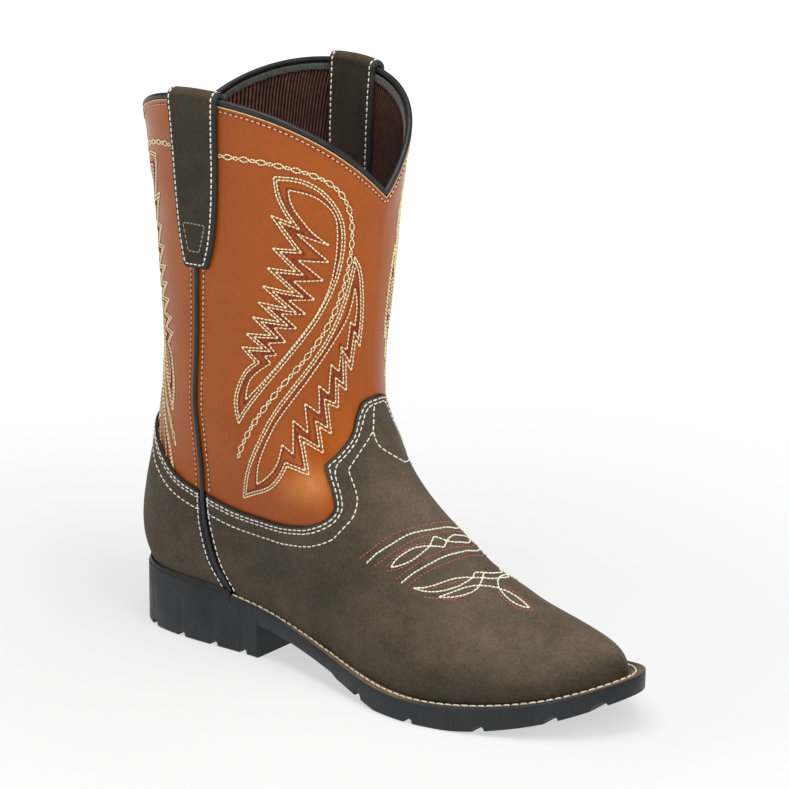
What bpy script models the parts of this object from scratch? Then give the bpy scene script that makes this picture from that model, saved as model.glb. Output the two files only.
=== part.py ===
"""Youth western pull-on boot for the right foot, built up from its last.

Units are metres. +X points to the toe, +Y to the wearer's left, +Z up. The boot
stands on Z = 0 with the origin under the middle of its bounding box. Sizes below
are in millimetres, and lengths along the boot are counted from the back of the heel.
"""

import math

import bpy
import numpy as np

MM = 0.001

# Sole sizes
SOLE_LENGTH = 246.0
TOE_TIP_Y = 4.0
HEEL_BREAST_X = 75.0
HEEL_HEIGHT = 27.0
ARCH_STEP_X = 121.0
TREAD_START_X = 125.0
FLAT_START_X = 149.0
SPRING_START_X = 185.0
SPRING_END_X = 250.0
WELT_START_X = 60.0
WELT_THICKNESS = 2.6
WELT_EDGE_INSET = 0.25
GROOVE_WIDTH = 4.6
GROOVE_DEPTH = 2.2
GROOVE_FLANK = 1.1
HEEL_GROOVES_X = (15.0, 33.0, 51.0, 67.0)
TREAD_GROOVES_X = (139.0, 168.0, 198.0, 224.0, 238.0)

# Upper sizes
GAP = 0.3
FEATHER_GAP = 0.4
WALL = 2.0
OVERLAY_THICKNESS = 1.3
OVERLAY_SEAT = 1.2
COLLAR_SIDE_Z = 241.3
FRONT_DIP_POWER = 2.0
BACK_DIP_POWER = {-1: 2.0, 1: 2.2}
SCALLOP_START = 0.66
SCALLOP_EASE = 0.35
SAG_END = 0.42
ARCH_POWER = 1.75
ARCH_ROOT = 1.44
SIDE_FULLNESS = 0.16
HEEL_FULLNESS = 0.07
HEEL_SWELL_HEIGHT = 55.0
HEEL_SWELL_X = (20.0, 80.0)
CREST_CLIMB = 14.0
LEG_BACK_ROUND = 0.92
SEAT_SHARE = 0.35

# Trim sizes
BINDING_RADIUS = 1.4
PIPING_RADIUS = 1.1
PIPING_FLATNESS = 0.7
SEAM_GROOVE = 1.9
PIPING_TOP = 0.777
PIPING_FOOT = 0.8
STRAP_THICKNESS = 1.9
STRAP_GAP = 0.4
STRAP_INNER_GAP = 0.55
STRAP_CLEARANCE = 0.15
STRAP_RISE_START = 0.88
STRAP_FALL_END = 0.90
STRAP_INNER_END = 0.815
INNER_LEG_LEAN = 0.35
INSOLE_THICKNESS = 2.2
INSOLE_INSET = 4.3

# Plan outline of the sole: how far it reaches to each side at each station
SOLE_PLAN_COLUMNS = ("x", "lateral", "medial")
SOLE_PLAN = (
    (4.2, 15.5, 15.0),
    (16.5, 25.6, 25.2),
    (42.0, 28.8, 28.3),
    (72.0, 28.5, 27.0),
    (108.0, 33.5, 29.5),
    (140.0, 42.6, 37.5),
    (168.0, 46.9, 42.4),
    (197.0, 40.0, 40.7),
    (220.0, 29.0, 33.5),
    (233.5, 17.6, 24.8),
    (242.5, 6.0, 14.0),
)

# Side profile of the sole: top of the welt, underside, and how far the upper stands in
SOLE_SIDE_COLUMNS = ("x", "top", "underside", "margin")
SOLE_SIDE = (
    (-4.0, 27.1, 18.5, 2.6),
    (30.0, 26.3, 17.8, 2.1),
    (62.0, 24.6, 16.6, 2.2),
    (95.0, 19.3, 12.0, 2.7),
    (121.0, 14.3, 7.2, 3.5),
    (125.0, 13.6, 5.4, 3.7),
    (149.0, 10.5, 0.0, 4.7),
    (165.0, 9.8, 0.0, 5.0),
    (185.0, 10.4, 0.0, 5.3),
    (210.0, 13.6, 3.9, 5.9),
    (230.0, 18.6, 9.6, 6.7),
    (250.0, 26.4, 18.0, 7.6),
)

# Sections of the upper, from the feather line at the sole up to the collar
UPPER_COLUMNS = (
    "front_x", "front_z", "back_x", "back_z", "half_width", "leg_share", "front_round",
)
UPPER_SECTIONS = {
    "feather": (238.5, 22.6, 3.2, 27.3, 30.0, 0.00, 1.00),
    "toe_wall": (237.0, 30.7, -1.3, 36.0, 31.0, 0.00, 1.00),
    "toe_top": (228.0, 37.6, -2.7, 45.0, 32.5, 0.02, 1.00),
    "toe_box": (207.0, 43.6, -2.2, 54.0, 34.0, 0.08, 1.05),
    "ball": (182.0, 50.4, -0.6, 64.0, 35.0, 0.20, 1.15),
    "vamp": (157.0, 64.4, 2.0, 75.0, 35.8, 0.42, 1.40),
    "instep": (134.0, 82.2, 5.6, 90.0, 36.9, 0.70, 1.50),
    "throat": (117.5, 108.0, 9.8, 108.0, 38.0, 0.93, 1.40),
    "ankle": (114.5, 132.0, 11.9, 130.0, 40.0, 1.00, 1.15),
    "calf": (116.2, 160.0, 10.6, 160.0, 43.6, 1.00, 1.00),
    "leg": (117.9, 182.0, 7.8, 190.0, 47.1, 1.00, 0.95),
    "collar": (120.0, 201.6, 6.0, 207.5, 50.1, 1.00, 0.92),
}

# Ridge line of the last seen from above
RIDGE_COLUMNS = ("x", "y")
RIDGE = (
    (0.0, 0.0), (100.0, 0.0), (140.0, 0.0), (172.0, -0.8), (205.0, 1.4), (240.0, 4.0),
)

# Side seams: angle round the section at each height
SEAM_COLUMNS = ("height", "lateral", "medial")
SEAM = (
    (0.00, 2.125, 2.125),
    (0.12, 2.160, 2.160),
    (0.28, 2.128, 2.128),
    (0.43, 2.023, 2.015),
    (0.58, 1.885, 1.846),
    (0.70, 1.800, 1.735),
    (0.78, 1.735, 1.653),
    (1.00, 1.625, 1.500),
)

# Top edge of the vamp, from the middle of the tongue round to the side seam
VAMP_EDGE_COLUMNS = ("share", "height")
VAMP_EDGE = (
    (0.000, 0.672), (0.075, 0.671), (0.150, 0.666), (0.205, 0.648), (0.260, 0.623),
    (0.350, 0.599), (0.445, 0.578), (0.468, 0.535), (0.505, 0.500), (0.580, 0.464),
    (0.680, 0.433), (0.780, 0.414), (0.880, 0.410), (1.000, 0.430),
)

# Top edge of the counter, from the side seam round to the back
COUNTER_EDGE_COLUMNS = ("share", "height")
COUNTER_EDGE = (
    (0.00, 0.433), (0.16, 0.452), (0.34, 0.492), (0.60, 0.545), (1.00, 0.575),
)

# Pull strap: half width at each height
STRAP_COLUMNS = ("height", "half_width")
STRAP_SHAPE = (
    (0.782, 6.2), (0.787, 7.3), (0.806, 9.8), (0.833, 11.3), (0.870, 12.2), (1.000, 13.0),
)

# Colours of the pieces
COLOURS = {
    "rubber": (0.025, 0.028, 0.032),
    "welt": (0.42, 0.27, 0.13),
    "insole": (0.2, 0.13, 0.09),
    "shaft": (0.42, 0.13, 0.03),
    "foot": (0.075, 0.055, 0.042),
    "black": (0.02, 0.022, 0.025),
}

# Grid rows and columns of the upper
FOOT_ROWS = 12
LEG_ROWS = 9
FRONT_SHARES = (
    0.0, 0.075, 0.150, 0.205, 0.260, 0.305, 0.350, 0.400, 0.445, 0.468, 0.505,
    0.545, 0.585, 0.630, 0.680, 0.730, 0.780, 0.830, 0.885, 0.940, 1.0,
)
BACK_SHARES = (0.0, 0.13, 0.27, 0.41, 0.55, 0.70, 0.85, 1.0)
FOOT_ROW_POWER = 1.15

# Helpers that cut the sole: how far they run past it
CUT_HALF_SPAN = 90.0
CUT_DEPTH = -6.0
CUT_TOP = 60.0
CUT_END_X = 252.0


def spline(xs, ys, x):
    """Natural cubic spline through the points (xs, ys), read at x."""
    xs = np.asarray(xs, float)
    ys = np.asarray(ys, float)
    x = np.asarray(x, float)
    count = len(xs)
    step = np.diff(xs)
    matrix = np.zeros((count, count))
    right = np.zeros(count)
    matrix[0, 0] = 1.0
    matrix[-1, -1] = 1.0
    for i in range(1, count - 1):
        matrix[i, i - 1] = step[i - 1]
        matrix[i, i] = 2.0 * (step[i - 1] + step[i])
        matrix[i, i + 1] = step[i]
        right[i] = 6.0 * ((ys[i + 1] - ys[i]) / step[i] - (ys[i] - ys[i - 1]) / step[i - 1])
    bend = np.linalg.solve(matrix, right)
    i = np.clip(np.searchsorted(xs, x) - 1, 0, count - 2)
    t = x - xs[i]
    width = step[i]
    slope = (ys[i + 1] - ys[i]) / width - width * (2.0 * bend[i] + bend[i + 1]) / 6.0
    return ys[i] + t * slope + t * t * bend[i] / 2.0 + t ** 3 * (bend[i + 1] - bend[i]) / (6.0 * width)


def column(rows, names, name):
    """One named column of a table."""
    return np.array([row[names.index(name)] for row in rows], float)


def unit(vectors):
    """Vectors at length 1."""
    return vectors / np.linalg.norm(vectors, axis=-1)[..., None]


def side_profile(name, x):
    """Smooth value of a sole side column at the length x."""
    xs = column(SOLE_SIDE, SOLE_SIDE_COLUMNS, "x")
    return spline(xs, column(SOLE_SIDE, SOLE_SIDE_COLUMNS, name), x)


def sole_top(x):
    return side_profile("top", x)


def underside(x):
    """Underside of the forepart and waist: straight between the table's rows, round at the toe."""
    xs = column(SOLE_SIDE, SOLE_SIDE_COLUMNS, "x")
    flat = np.interp(x, xs, column(SOLE_SIDE, SOLE_SIDE_COLUMNS, "underside"))
    smooth = side_profile("underside", x)
    return np.where(np.asarray(x) > SPRING_START_X, np.maximum(smooth, 0.0), flat)


def sole_outline(q):
    """Points and inward normals of the sole's plan outline; q runs 0 to 1 from the toe tip
    round the lateral side, the heel and the medial side."""
    x = column(SOLE_PLAN, SOLE_PLAN_COLUMNS, "x")
    lateral = np.c_[x, -column(SOLE_PLAN, SOLE_PLAN_COLUMNS, "lateral")]
    medial = np.c_[x, column(SOLE_PLAN, SOLE_PLAN_COLUMNS, "medial")]
    loop = np.vstack([[(SOLE_LENGTH, TOE_TIP_Y)], lateral[::-1], [(0.0, 0.0)], medial])
    wrap = 4
    points = np.vstack([loop[-wrap:], loop, loop[: wrap + 1]])
    chord = np.sqrt(np.linalg.norm(np.diff(points, axis=0), axis=1))
    s = np.r_[0.0, np.cumsum(chord)]
    at = s[wrap] + np.asarray(q, float) * (s[wrap + len(loop)] - s[wrap])
    small = 1e-3
    place = np.c_[spline(s, points[:, 0], at), spline(s, points[:, 1], at)]
    ahead = np.c_[spline(s, points[:, 0], at + small), spline(s, points[:, 1], at + small)]
    run = unit(ahead - place)
    return place, np.c_[run[:, 1], -run[:, 0]]


def inset_outline(q, extra):
    """The upper's feather outline moved further in by extra."""
    place, inward = sole_outline(q)
    margin = side_profile("margin", place[:, 0]) + extra
    return place + inward * margin[:, None]


def branches(loop):
    """Lateral and medial halves of a closed outline, each from the back to the tip."""
    tip = int(loop[:, 0].argmax())
    loop = np.roll(loop, -tip, axis=0)
    back = int(loop[:, 0].argmin())
    lateral = loop[: back + 1][::-1]
    medial = np.vstack([loop[back:], loop[:1]])
    return {-1: lateral, 1: medial}


OUTLINE_Q = np.linspace(0.0, 1.0, 480, endpoint=False)
SOLE_SIDES = branches(sole_outline(OUTLINE_Q)[0])
FEATHER_SIDES = branches(inset_outline(OUTLINE_Q, 0.0))


def reach(sides, x, side):
    """Y of an outline's half at the length x."""
    half = sides[side]
    xs = np.maximum.accumulate(half[:, 0] + np.arange(len(half)) * 1e-9)
    return np.interp(x, xs, half[:, 1])


SECTION_V = np.linspace(0.0, 1.0, len(UPPER_SECTIONS))
SECTION_ROWS = list(UPPER_SECTIONS.values())


def section(name, v):
    """Smooth value of an upper column at the height share v."""
    return spline(SECTION_V, column(SECTION_ROWS, UPPER_COLUMNS, name), v)


def sagged(height, x, v):
    """Height of a ring: the lower ones sag on to the curved sole."""
    front_x, front_z, back_x, back_z = SECTION_ROWS[0][:4]
    along = np.clip((x - back_x) / (front_x - back_x), 0.0, 1.0)
    straight = back_z + (front_z - back_z) * along
    sag = np.clip(1.0 - v / SAG_END, 0.0, 1.0) ** 1.5
    return height + (sole_top(x) + FEATHER_GAP - straight) * sag


CREST_V = np.linspace(0.0, 1.0, 600)
CREST_X = section("front_x", CREST_V)
CREST_Z = sagged(section("front_z", CREST_V), CREST_X, CREST_V)
THROAT = int(np.argmax(CREST_X <= CREST_X.min() + 0.05))


def crest_height(x):
    """Height of the ridge over the vamp; behind the throat it climbs out of reach."""
    xs = CREST_X[: THROAT + 1][::-1]
    zs = CREST_Z[: THROAT + 1][::-1]
    return np.where(x < xs[0], zs[0] + (xs[0] - x) * CREST_CLIMB, np.interp(x, xs, zs))


def last_surface(angle, v, side):
    """Outer surface of the upper. angle runs from 0 at the front to pi at the back,
    v from 0 at the feather line to 1 at the collar, side is -1 lateral or 1 medial."""
    angle, v = np.broadcast_arrays(np.asarray(angle, float), np.asarray(v, float))
    front_x, front_z = section("front_x", v), section("front_z", v)
    back_x, back_z = section("back_x", v), section("back_z", v)
    leg = np.clip(section("leg_share", v), 0.0, 1.0)
    share = (1.0 + np.cos(angle)) / 2.0
    x = back_x + (front_x - back_x) * share
    ends = back_z + (front_z - back_z) * share

    # The upper rings rise to the scalloped collar
    lift = np.clip((v - SCALLOP_START) / (1.0 - SCALLOP_START), 0.0, 1.0)
    lift = SCALLOP_EASE * lift * lift * (3.0 - 2.0 * lift) + (1.0 - SCALLOP_EASE) * lift ** 1.5
    power = np.where(angle < math.pi / 2, FRONT_DIP_POWER, BACK_DIP_POWER[side])
    scallop = 1.0 - np.abs(1.0 - angle / (math.pi / 2)) ** power
    z = sagged(ends, x, v) + lift * (COLLAR_SIDE_Z - ends) * scallop

    # Foot: the feather outline under an arch that closes at the ridge
    floor = sole_top(x)
    height = np.clip((z - floor) / np.maximum(crest_height(x) - floor, 1e-3), 0.0, 1.0)
    arch = (1.0 - height ** ARCH_POWER) ** (1.0 / ARCH_ROOT)
    arch = arch * (1.0 + SIDE_FULLNESS * height * (1.0 - height) ** 2)
    feather_back = FEATHER_SIDES[side][0, 0]
    width = reach(FEATHER_SIDES, x - (back_x - feather_back) * (1.0 - share) ** 3, side)
    swell = np.sin(np.clip((z - HEEL_HEIGHT) / HEEL_SWELL_HEIGHT, 0.0, 1.0) * math.pi)
    near_heel = np.interp(x, HEEL_SWELL_X, (1.0, 0.0))
    width = width * (1.0 + HEEL_FULLNESS * swell * near_heel)
    ridge_x = column(RIDGE, RIDGE_COLUMNS, "x")
    ridge = np.interp(x, ridge_x, column(RIDGE, RIDGE_COLUMNS, "y")) * (1.0 - leg)
    foot_y = ridge + (width - ridge) * arch

    # Leg: a rounded section with a sharper front over the instep
    roundness = np.where(angle < math.pi / 2, section("front_round", v), LEG_BACK_ROUND)
    leg_y = side * section("half_width", v) * np.abs(np.sin(angle)) ** roundness
    return np.stack([x, foot_y * (1.0 - leg) + leg_y * leg, z], axis=-1)


def seam_angle(v, side):
    heights = column(SEAM, SEAM_COLUMNS, "height")
    return spline(heights, column(SEAM, SEAM_COLUMNS, "lateral" if side < 0 else "medial"), v)


def arc_speed(angle, v, side):
    """Millimetres along the surface for each radian of angle."""
    ahead = last_surface(angle + 0.01, v, side)
    return np.linalg.norm(ahead - last_surface(angle - 0.01, v, side), axis=-1) / 0.02


def ring_columns():
    """The grid's columns once round: (side, kind, share)."""
    half = [("front", s) for s in FRONT_SHARES[1:]] + [("seam", 0.0)] + [("back", s) for s in BACK_SHARES]
    lateral = [(-1, kind, s) for kind, s in half]
    medial = [(1, kind, s) for kind, s in half[:-1]]
    return [(-1, "front", 0.0)] + lateral + medial[::-1]


def edge_height(kind, share):
    """Height of the vamp's or counter's top edge in a column."""
    if kind == "front":
        table, names = VAMP_EDGE, VAMP_EDGE_COLUMNS
    else:
        table, names = COUNTER_EDGE, COUNTER_EDGE_COLUMNS
    return float(np.interp(share, column(table, names, "share"), column(table, names, "height")))


def column_angle(side, kind, share, v):
    """Angle of a grid column at the heights v; two columns stand clear of the side seam."""
    seam = seam_angle(v, side)
    groove = SEAM_GROOVE / arc_speed(seam, v, side)
    if kind == "front":
        return (seam - groove) * share
    if kind == "seam":
        return seam
    return (seam + groove) + (math.pi - seam - groove) * share


def column_heights(kind, share):
    """Heights of a grid column's rows: the foot up to the overlay's edge, then the leg."""
    edge = edge_height(kind, share)
    foot = np.linspace(0.0, 1.0, FOOT_ROWS) ** FOOT_ROW_POWER
    leg = np.linspace(0.0, 1.0, LEG_ROWS + 1)[1:]
    return np.r_[edge * foot, edge + (1.0 - edge) * leg]


def upper_grid():
    """Points of the upper's outer surface as rows (feather to collar) by columns (once round)."""
    strips = []
    for side, kind, share in ring_columns():
        v = column_heights(kind, share)
        strips.append(last_surface(column_angle(side, kind, share, v), v, side))
    return np.stack(strips, axis=1)


def grid_normals(grid):
    """Outward unit normals of a grid that closes round its columns; level at both open edges."""
    around = np.roll(grid, -1, axis=1)
    across = np.cross(around[1:] - grid[:-1], grid[1:] - around[:-1])
    total = np.zeros_like(grid)
    for part in (total[:-1], total[1:]):
        part += across
        part += np.roll(across, 1, axis=1)
    for row in (0, -1):
        total[row, :, 2] = 0.0
    total = unit(total)
    centre = grid.mean(axis=(0, 1))
    return -total if ((grid - centre) * total).sum() < 0.0 else total


def add_solid(name, points, faces, colour, roughness=0.6):
    """A named mesh object from points in millimetres, with its own material."""
    mesh = bpy.data.meshes.new(name)
    mesh.from_pydata([tuple(MM * c for c in p) for p in np.asarray(points).reshape(-1, 3)], [], faces)
    mesh.validate()
    mesh.update()
    obj = bpy.data.objects.new(name, mesh)
    bpy.context.scene.collection.objects.link(obj)
    material = bpy.data.materials.new(name)
    material.use_nodes = True
    shader = material.node_tree.nodes["Principled BSDF"]
    shader.inputs["Base Color"].default_value = (*colour, 1.0)
    shader.inputs["Roughness"].default_value = roughness
    mesh.materials.append(material)
    return obj


def grid_faces(rows, columns, closed, start=0, flip=False):
    """Triangles of a grid of points numbered row by row from start."""
    faces = []
    for i in range(rows - 1):
        for j in range(columns if closed else columns - 1):
            k = (j + 1) % columns
            a, b = start + i * columns + j, start + i * columns + k
            c, d = start + (i + 1) * columns + k, start + (i + 1) * columns + j
            for corners in ([a, b, c], [a, c, d]):
                faces.append(corners[::-1] if flip else corners)
    return faces


def shell(outer, inner, closed):
    """Points and faces of a wall between two grids, closed round its columns or with four edges."""
    rows, columns = outer.shape[:2]
    count = rows * columns
    faces = grid_faces(rows, columns, closed) + grid_faces(rows, columns, closed, count, True)
    last = (rows - 1) * columns
    for j in range(columns if closed else columns - 1):
        k = (j + 1) % columns
        faces.append([k, j, count + j, count + k])
        faces.append([last + j, last + k, count + last + k, count + last + j])
    if not closed:
        for i in range(rows - 1):
            a, b = i * columns, (i + 1) * columns
            faces.append([a, b, count + b, count + a])
            a, b = a + columns - 1, b + columns - 1
            faces.append([b, a, count + a, count + b])
    return np.vstack([outer.reshape(-1, 3), inner.reshape(-1, 3)]), faces


def tube(path, across, radius, closed, sides, flatness=1.0):
    """Points and faces of a bead along a path; across points out of the boot, where it may be flat."""
    count = len(path)
    ring = np.linspace(0.0, 2.0 * math.pi, sides, endpoint=False)
    before = np.roll(path, 1, axis=0)
    after = np.roll(path, -1, axis=0)
    if not closed:
        before[0] = path[0]
        after[-1] = path[-1]
    run = unit(after - before)
    out = unit(across - (across * run).sum(axis=1)[:, None] * run)
    up = np.cross(run, out)
    rings = path[:, None] + radius * (
        flatness * np.cos(ring)[None, :, None] * out[:, None] + np.sin(ring)[None, :, None] * up[:, None])
    faces = []
    for i in range(count if closed else count - 1):
        k = (i + 1) % count
        for j in range(sides):
            m = (j + 1) % sides
            faces.append([i * sides + j, i * sides + m, k * sides + m, k * sides + j])
    if not closed:
        faces.append(list(range(sides))[::-1])
        faces.append([(count - 1) * sides + j for j in range(sides)])
    return rings.reshape(-1, 3), faces


def turn_outward(obj):
    """Turns a closed mesh's faces to point out of it."""
    mesh = obj.data
    volume = 0.0
    for face in mesh.polygons:
        corners = [np.array(mesh.vertices[i].co) for i in face.vertices]
        for a, b in zip(corners[1:-1], corners[2:]):
            volume += float(np.dot(corners[0], np.cross(a, b)))
    if volume < 0.0:
        mesh.flip_normals()
    return obj


def plan_block(name, sides, low, high, stations, colour, roughness=0.6):
    """A block with a plan outline, between two heights that depend only on the length."""
    start, end = sides[-1][0], sides[-1][-1]
    xs = start[0] + (end[0] - start[0]) * (1.0 - np.cos(np.linspace(0.0, math.pi, stations))) / 2.0
    points, lateral, medial = [], [], []
    for i, x in enumerate(xs):
        single = i in (0, stations - 1)
        ends = [(start, end)[i > 0][1]] if single else [reach(sides, x, -1), reach(sides, x, 1)]
        ids = []
        for y in ends:
            ids.append((len(points), len(points) + 1))
            points.append((x, float(y), float(low(x))))
            points.append((x, float(y), float(high(x))))
        lateral.append(ids[0])
        medial.append(ids[-1])
    faces = []
    for i in range(stations - 1):
        for ids, turn in ((lateral, 1), (medial, -1)):
            (a, b), (c, d) = ids[i], ids[i + 1]
            faces.append([a, c, d, b][::turn])
        for level, turn in ((0, -1), (1, 1)):
            corners = [lateral[i][level], lateral[i + 1][level], medial[i + 1][level], medial[i][level]]
            faces.append(list(dict.fromkeys(corners))[::turn])
    return turn_outward(add_solid(name, points, faces, colour, roughness))


def side_cutter(name, profile):
    """A helper with a side profile in X and Z that runs right across the boot."""
    count = len(profile)
    points = [(x, y, z) for y in (-CUT_HALF_SPAN, CUT_HALF_SPAN) for x, z in profile]
    faces = [list(range(count)), list(range(2 * count - 1, count - 1, -1))]
    for i in range(count):
        k = (i + 1) % count
        faces.append([i, count + i, count + k, k])
    cutter = turn_outward(add_solid(name, points, faces, (1.0, 0.0, 0.0)))
    cutter.hide_render = True
    cutter.display_type = "WIRE"
    return cutter


def cut(obj, cutter):
    change = obj.modifiers.new(cutter.name, "BOOLEAN")
    change.operation = "DIFFERENCE"
    change.solver = "EXACT"
    change.object = cutter


def groove_profile(x, base):
    """A tread groove across the sole at the length x, opening downward."""
    half = GROOVE_WIDTH / 2.0
    slope = (base(x + 1.0) - base(x - 1.0)) / 2.0
    along = np.array([1.0, slope]) / math.hypot(1.0, slope)
    up = np.array([-along[1], along[0]])
    middle = np.array([x, float(base(x))])
    flare = GROOVE_FLANK / GROOVE_DEPTH
    ends = ((half - CUT_DEPTH * flare, CUT_DEPTH), (half - GROOVE_FLANK, GROOVE_DEPTH))
    shape = [(-a, b) for a, b in ends] + list(ends[::-1])
    return [tuple(middle + along * a + up * b) for a, b in shape]


def build_outsole():
    """Outsole and heel moulded as one unit, with arch, toe spring, welt seat and tread."""
    outsole = plan_block("outsole", SOLE_SIDES, lambda x: 0.0, sole_top, 56, COLOURS["rubber"], 0.55)
    waist_x = np.linspace(HEEL_BREAST_X, ARCH_STEP_X, 11)
    arch_x = np.r_[waist_x, np.linspace(TREAD_START_X, FLAT_START_X, 5)]
    arch = [(x, float(underside(x))) for x in arch_x]
    cut(outsole, side_cutter("cut_arch", arch + [(FLAT_START_X, CUT_DEPTH), (HEEL_BREAST_X, CUT_DEPTH)]))
    spring_x = np.linspace(SPRING_START_X, SPRING_END_X, 16)
    spring = [(x, float(underside(x))) for x in spring_x]
    below = [(SPRING_END_X, CUT_DEPTH), (SPRING_START_X, CUT_DEPTH)]
    cut(outsole, side_cutter("cut_toe_spring", spring + below))
    seat_x = np.linspace(WELT_START_X - GAP, CUT_END_X, 40)
    seat = [(x, float(sole_top(x)) - WELT_THICKNESS - GAP) for x in seat_x]
    cut(outsole, side_cutter("cut_welt_seat", seat + [(CUT_END_X, CUT_TOP), (seat_x[0], CUT_TOP)]))
    for i, x in enumerate(HEEL_GROOVES_X):
        cut(outsole, side_cutter("cut_heel_groove_%d" % i, groove_profile(x, lambda q: 0.0)))
    for i, x in enumerate(TREAD_GROOVES_X):
        cut(outsole, side_cutter("cut_tread_groove_%d" % i, groove_profile(x, underside)))
    return outsole


def build_welt():
    """Strip between outsole and upper, from the heel front round the toe."""
    q = np.linspace(0.0, 1.0, 2001)
    place = sole_outline(q)[0]
    back = q[place[:, 0] < WELT_START_X + 2.0 * GAP]
    run = np.linspace(back.max() - 1.0, back.min(), 76)
    q = np.mod(run, 1.0)
    place, inward = sole_outline(q)
    outer = place + inward * WELT_EDGE_INSET
    inner = inset_outline(q, INSOLE_INSET - GAP)
    corners = []
    for plan, drop in ((outer, WELT_THICKNESS), (outer, 0.0), (inner, 0.0), (inner, WELT_THICKNESS)):
        corners.append(np.c_[plan, sole_top(plan[:, 0]) - drop])
    points = np.stack(corners, axis=1).reshape(-1, 3)
    faces = []
    for i in range(len(q) - 1):
        for j in range(4):
            k = (j + 1) % 4
            faces.append([4 * i + j, 4 * i + k, 4 * i + 4 + k, 4 * i + 4 + j])
    faces.append([3, 2, 1, 0])
    faces.append([4 * (len(q) - 1) + j for j in range(4)])
    return turn_outward(add_solid("welt", points, faces, COLOURS["welt"], 0.65))


def build_insole():
    """Insole inside the upper's open bottom; its forepart fills the ring of the welt."""
    sides = branches(inset_outline(OUTLINE_Q, INSOLE_INSET))
    insole = plan_block("insole", sides, lambda x: sole_top(x) - WELT_THICKNESS,
                        lambda x: sole_top(x) + INSOLE_THICKNESS, 40, COLOURS["insole"], 0.9)
    seat_x = np.linspace(CUT_DEPTH, WELT_START_X + GAP, 16)
    seat = [(x, float(sole_top(x)) + GAP) for x in seat_x]
    cut(insole, side_cutter("cut_heel_seat", seat + [(seat_x[-1], CUT_DEPTH), (seat_x[0], CUT_DEPTH)]))
    return insole


def build_upper():
    """The hollow upper, the vamp and counter that lie on its foot, its binding and pipings."""
    grid = upper_grid()
    normals = grid_normals(grid)
    rows, count = grid.shape[:2]
    sink = np.zeros(rows)
    sink[:FOOT_ROWS] = np.clip(np.linspace(1.0, 0.0, FOOT_ROWS) / SEAT_SHARE, 0.0, 1.0) * OVERLAY_SEAT
    outer = grid - normals * sink[:, None, None]
    inner = outer - normals * WALL
    made = [turn_outward(add_solid("upper", *shell(outer, inner, True), COLOURS["shaft"], 0.45))]

    # Vamp and counter: the foot rows of the same grid, one layer further out
    columns = ring_columns()
    vamp = [j for j in range(count) if columns[j][1] == "front"]
    split = vamp.index(max(j for j in vamp if columns[j][0] == -1))
    vamp = vamp[split + 1:] + vamp[: split + 1]
    counter = [j for j in range(count) if columns[j][1] == "back"]
    for name, use in (("vamp", vamp), ("counter", counter)):
        base, out = outer[:FOOT_ROWS, use], normals[:FOOT_ROWS, use]
        solid = shell(base + out * (GAP + OVERLAY_THICKNESS), base + out * GAP, False)
        made.append(turn_outward(add_solid(name, *solid, COLOURS["foot"], 0.8)))

    # Collar binding: a rolled bead standing on the rim
    rim = (outer[-1] + inner[-1]) / 2.0
    run = unit(np.roll(rim, -1, axis=0) - rim)
    both = unit(run + np.roll(run, 1, axis=0))
    lift = np.cross(both, normals[-1])
    lift = unit(lift * np.sign(lift[:, 2])[:, None])
    mitre = (both * run).sum(axis=1)
    path = rim + lift * ((BINDING_RADIUS + GAP) / mitre)[:, None]
    made.append(turn_outward(add_solid(
        "collar_binding", *tube(path, normals[-1], BINDING_RADIUS, True, 7), COLOURS["black"], 0.4)))

    # Side pipings: a bead up each side seam from the sole to the pull strap
    for side, name in ((-1, "side_piping_lateral"), (1, "side_piping_medial")):
        j = columns.index((side, "seam", 0.0))
        v = column_heights("seam", 0.0)
        stops = np.r_[v[v < PIPING_TOP], PIPING_TOP]
        line = np.stack([np.interp(stops, v, outer[:, j, c]) for c in range(3)], axis=1)
        out = np.stack([np.interp(stops, v, normals[:, j, c]) for c in range(3)], axis=1)
        path = line + out * (PIPING_RADIUS * PIPING_FLATNESS + GAP)
        path[0] += unit(path[1] - path[0]) * PIPING_FOOT
        made.append(turn_outward(add_solid(
            name, *tube(path, out, PIPING_RADIUS, False, 6, PIPING_FLATNESS), COLOURS["black"], 0.4)))
    return made


def surface_normal(angle, v, side):
    """Outward unit normals of the last's surface."""
    around = last_surface(angle + 0.01, v, side) - last_surface(angle - 0.01, v, side)
    low, high = np.clip(v - 0.004, 0.0, 1.0), np.clip(v + 0.004, 0.0, 1.0)
    upward = last_surface(angle, high, side) - last_surface(angle, low, side)
    out = unit(np.cross(around, upward) * side)
    return out * np.sign(out[..., 1] * side)[..., None]


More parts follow.
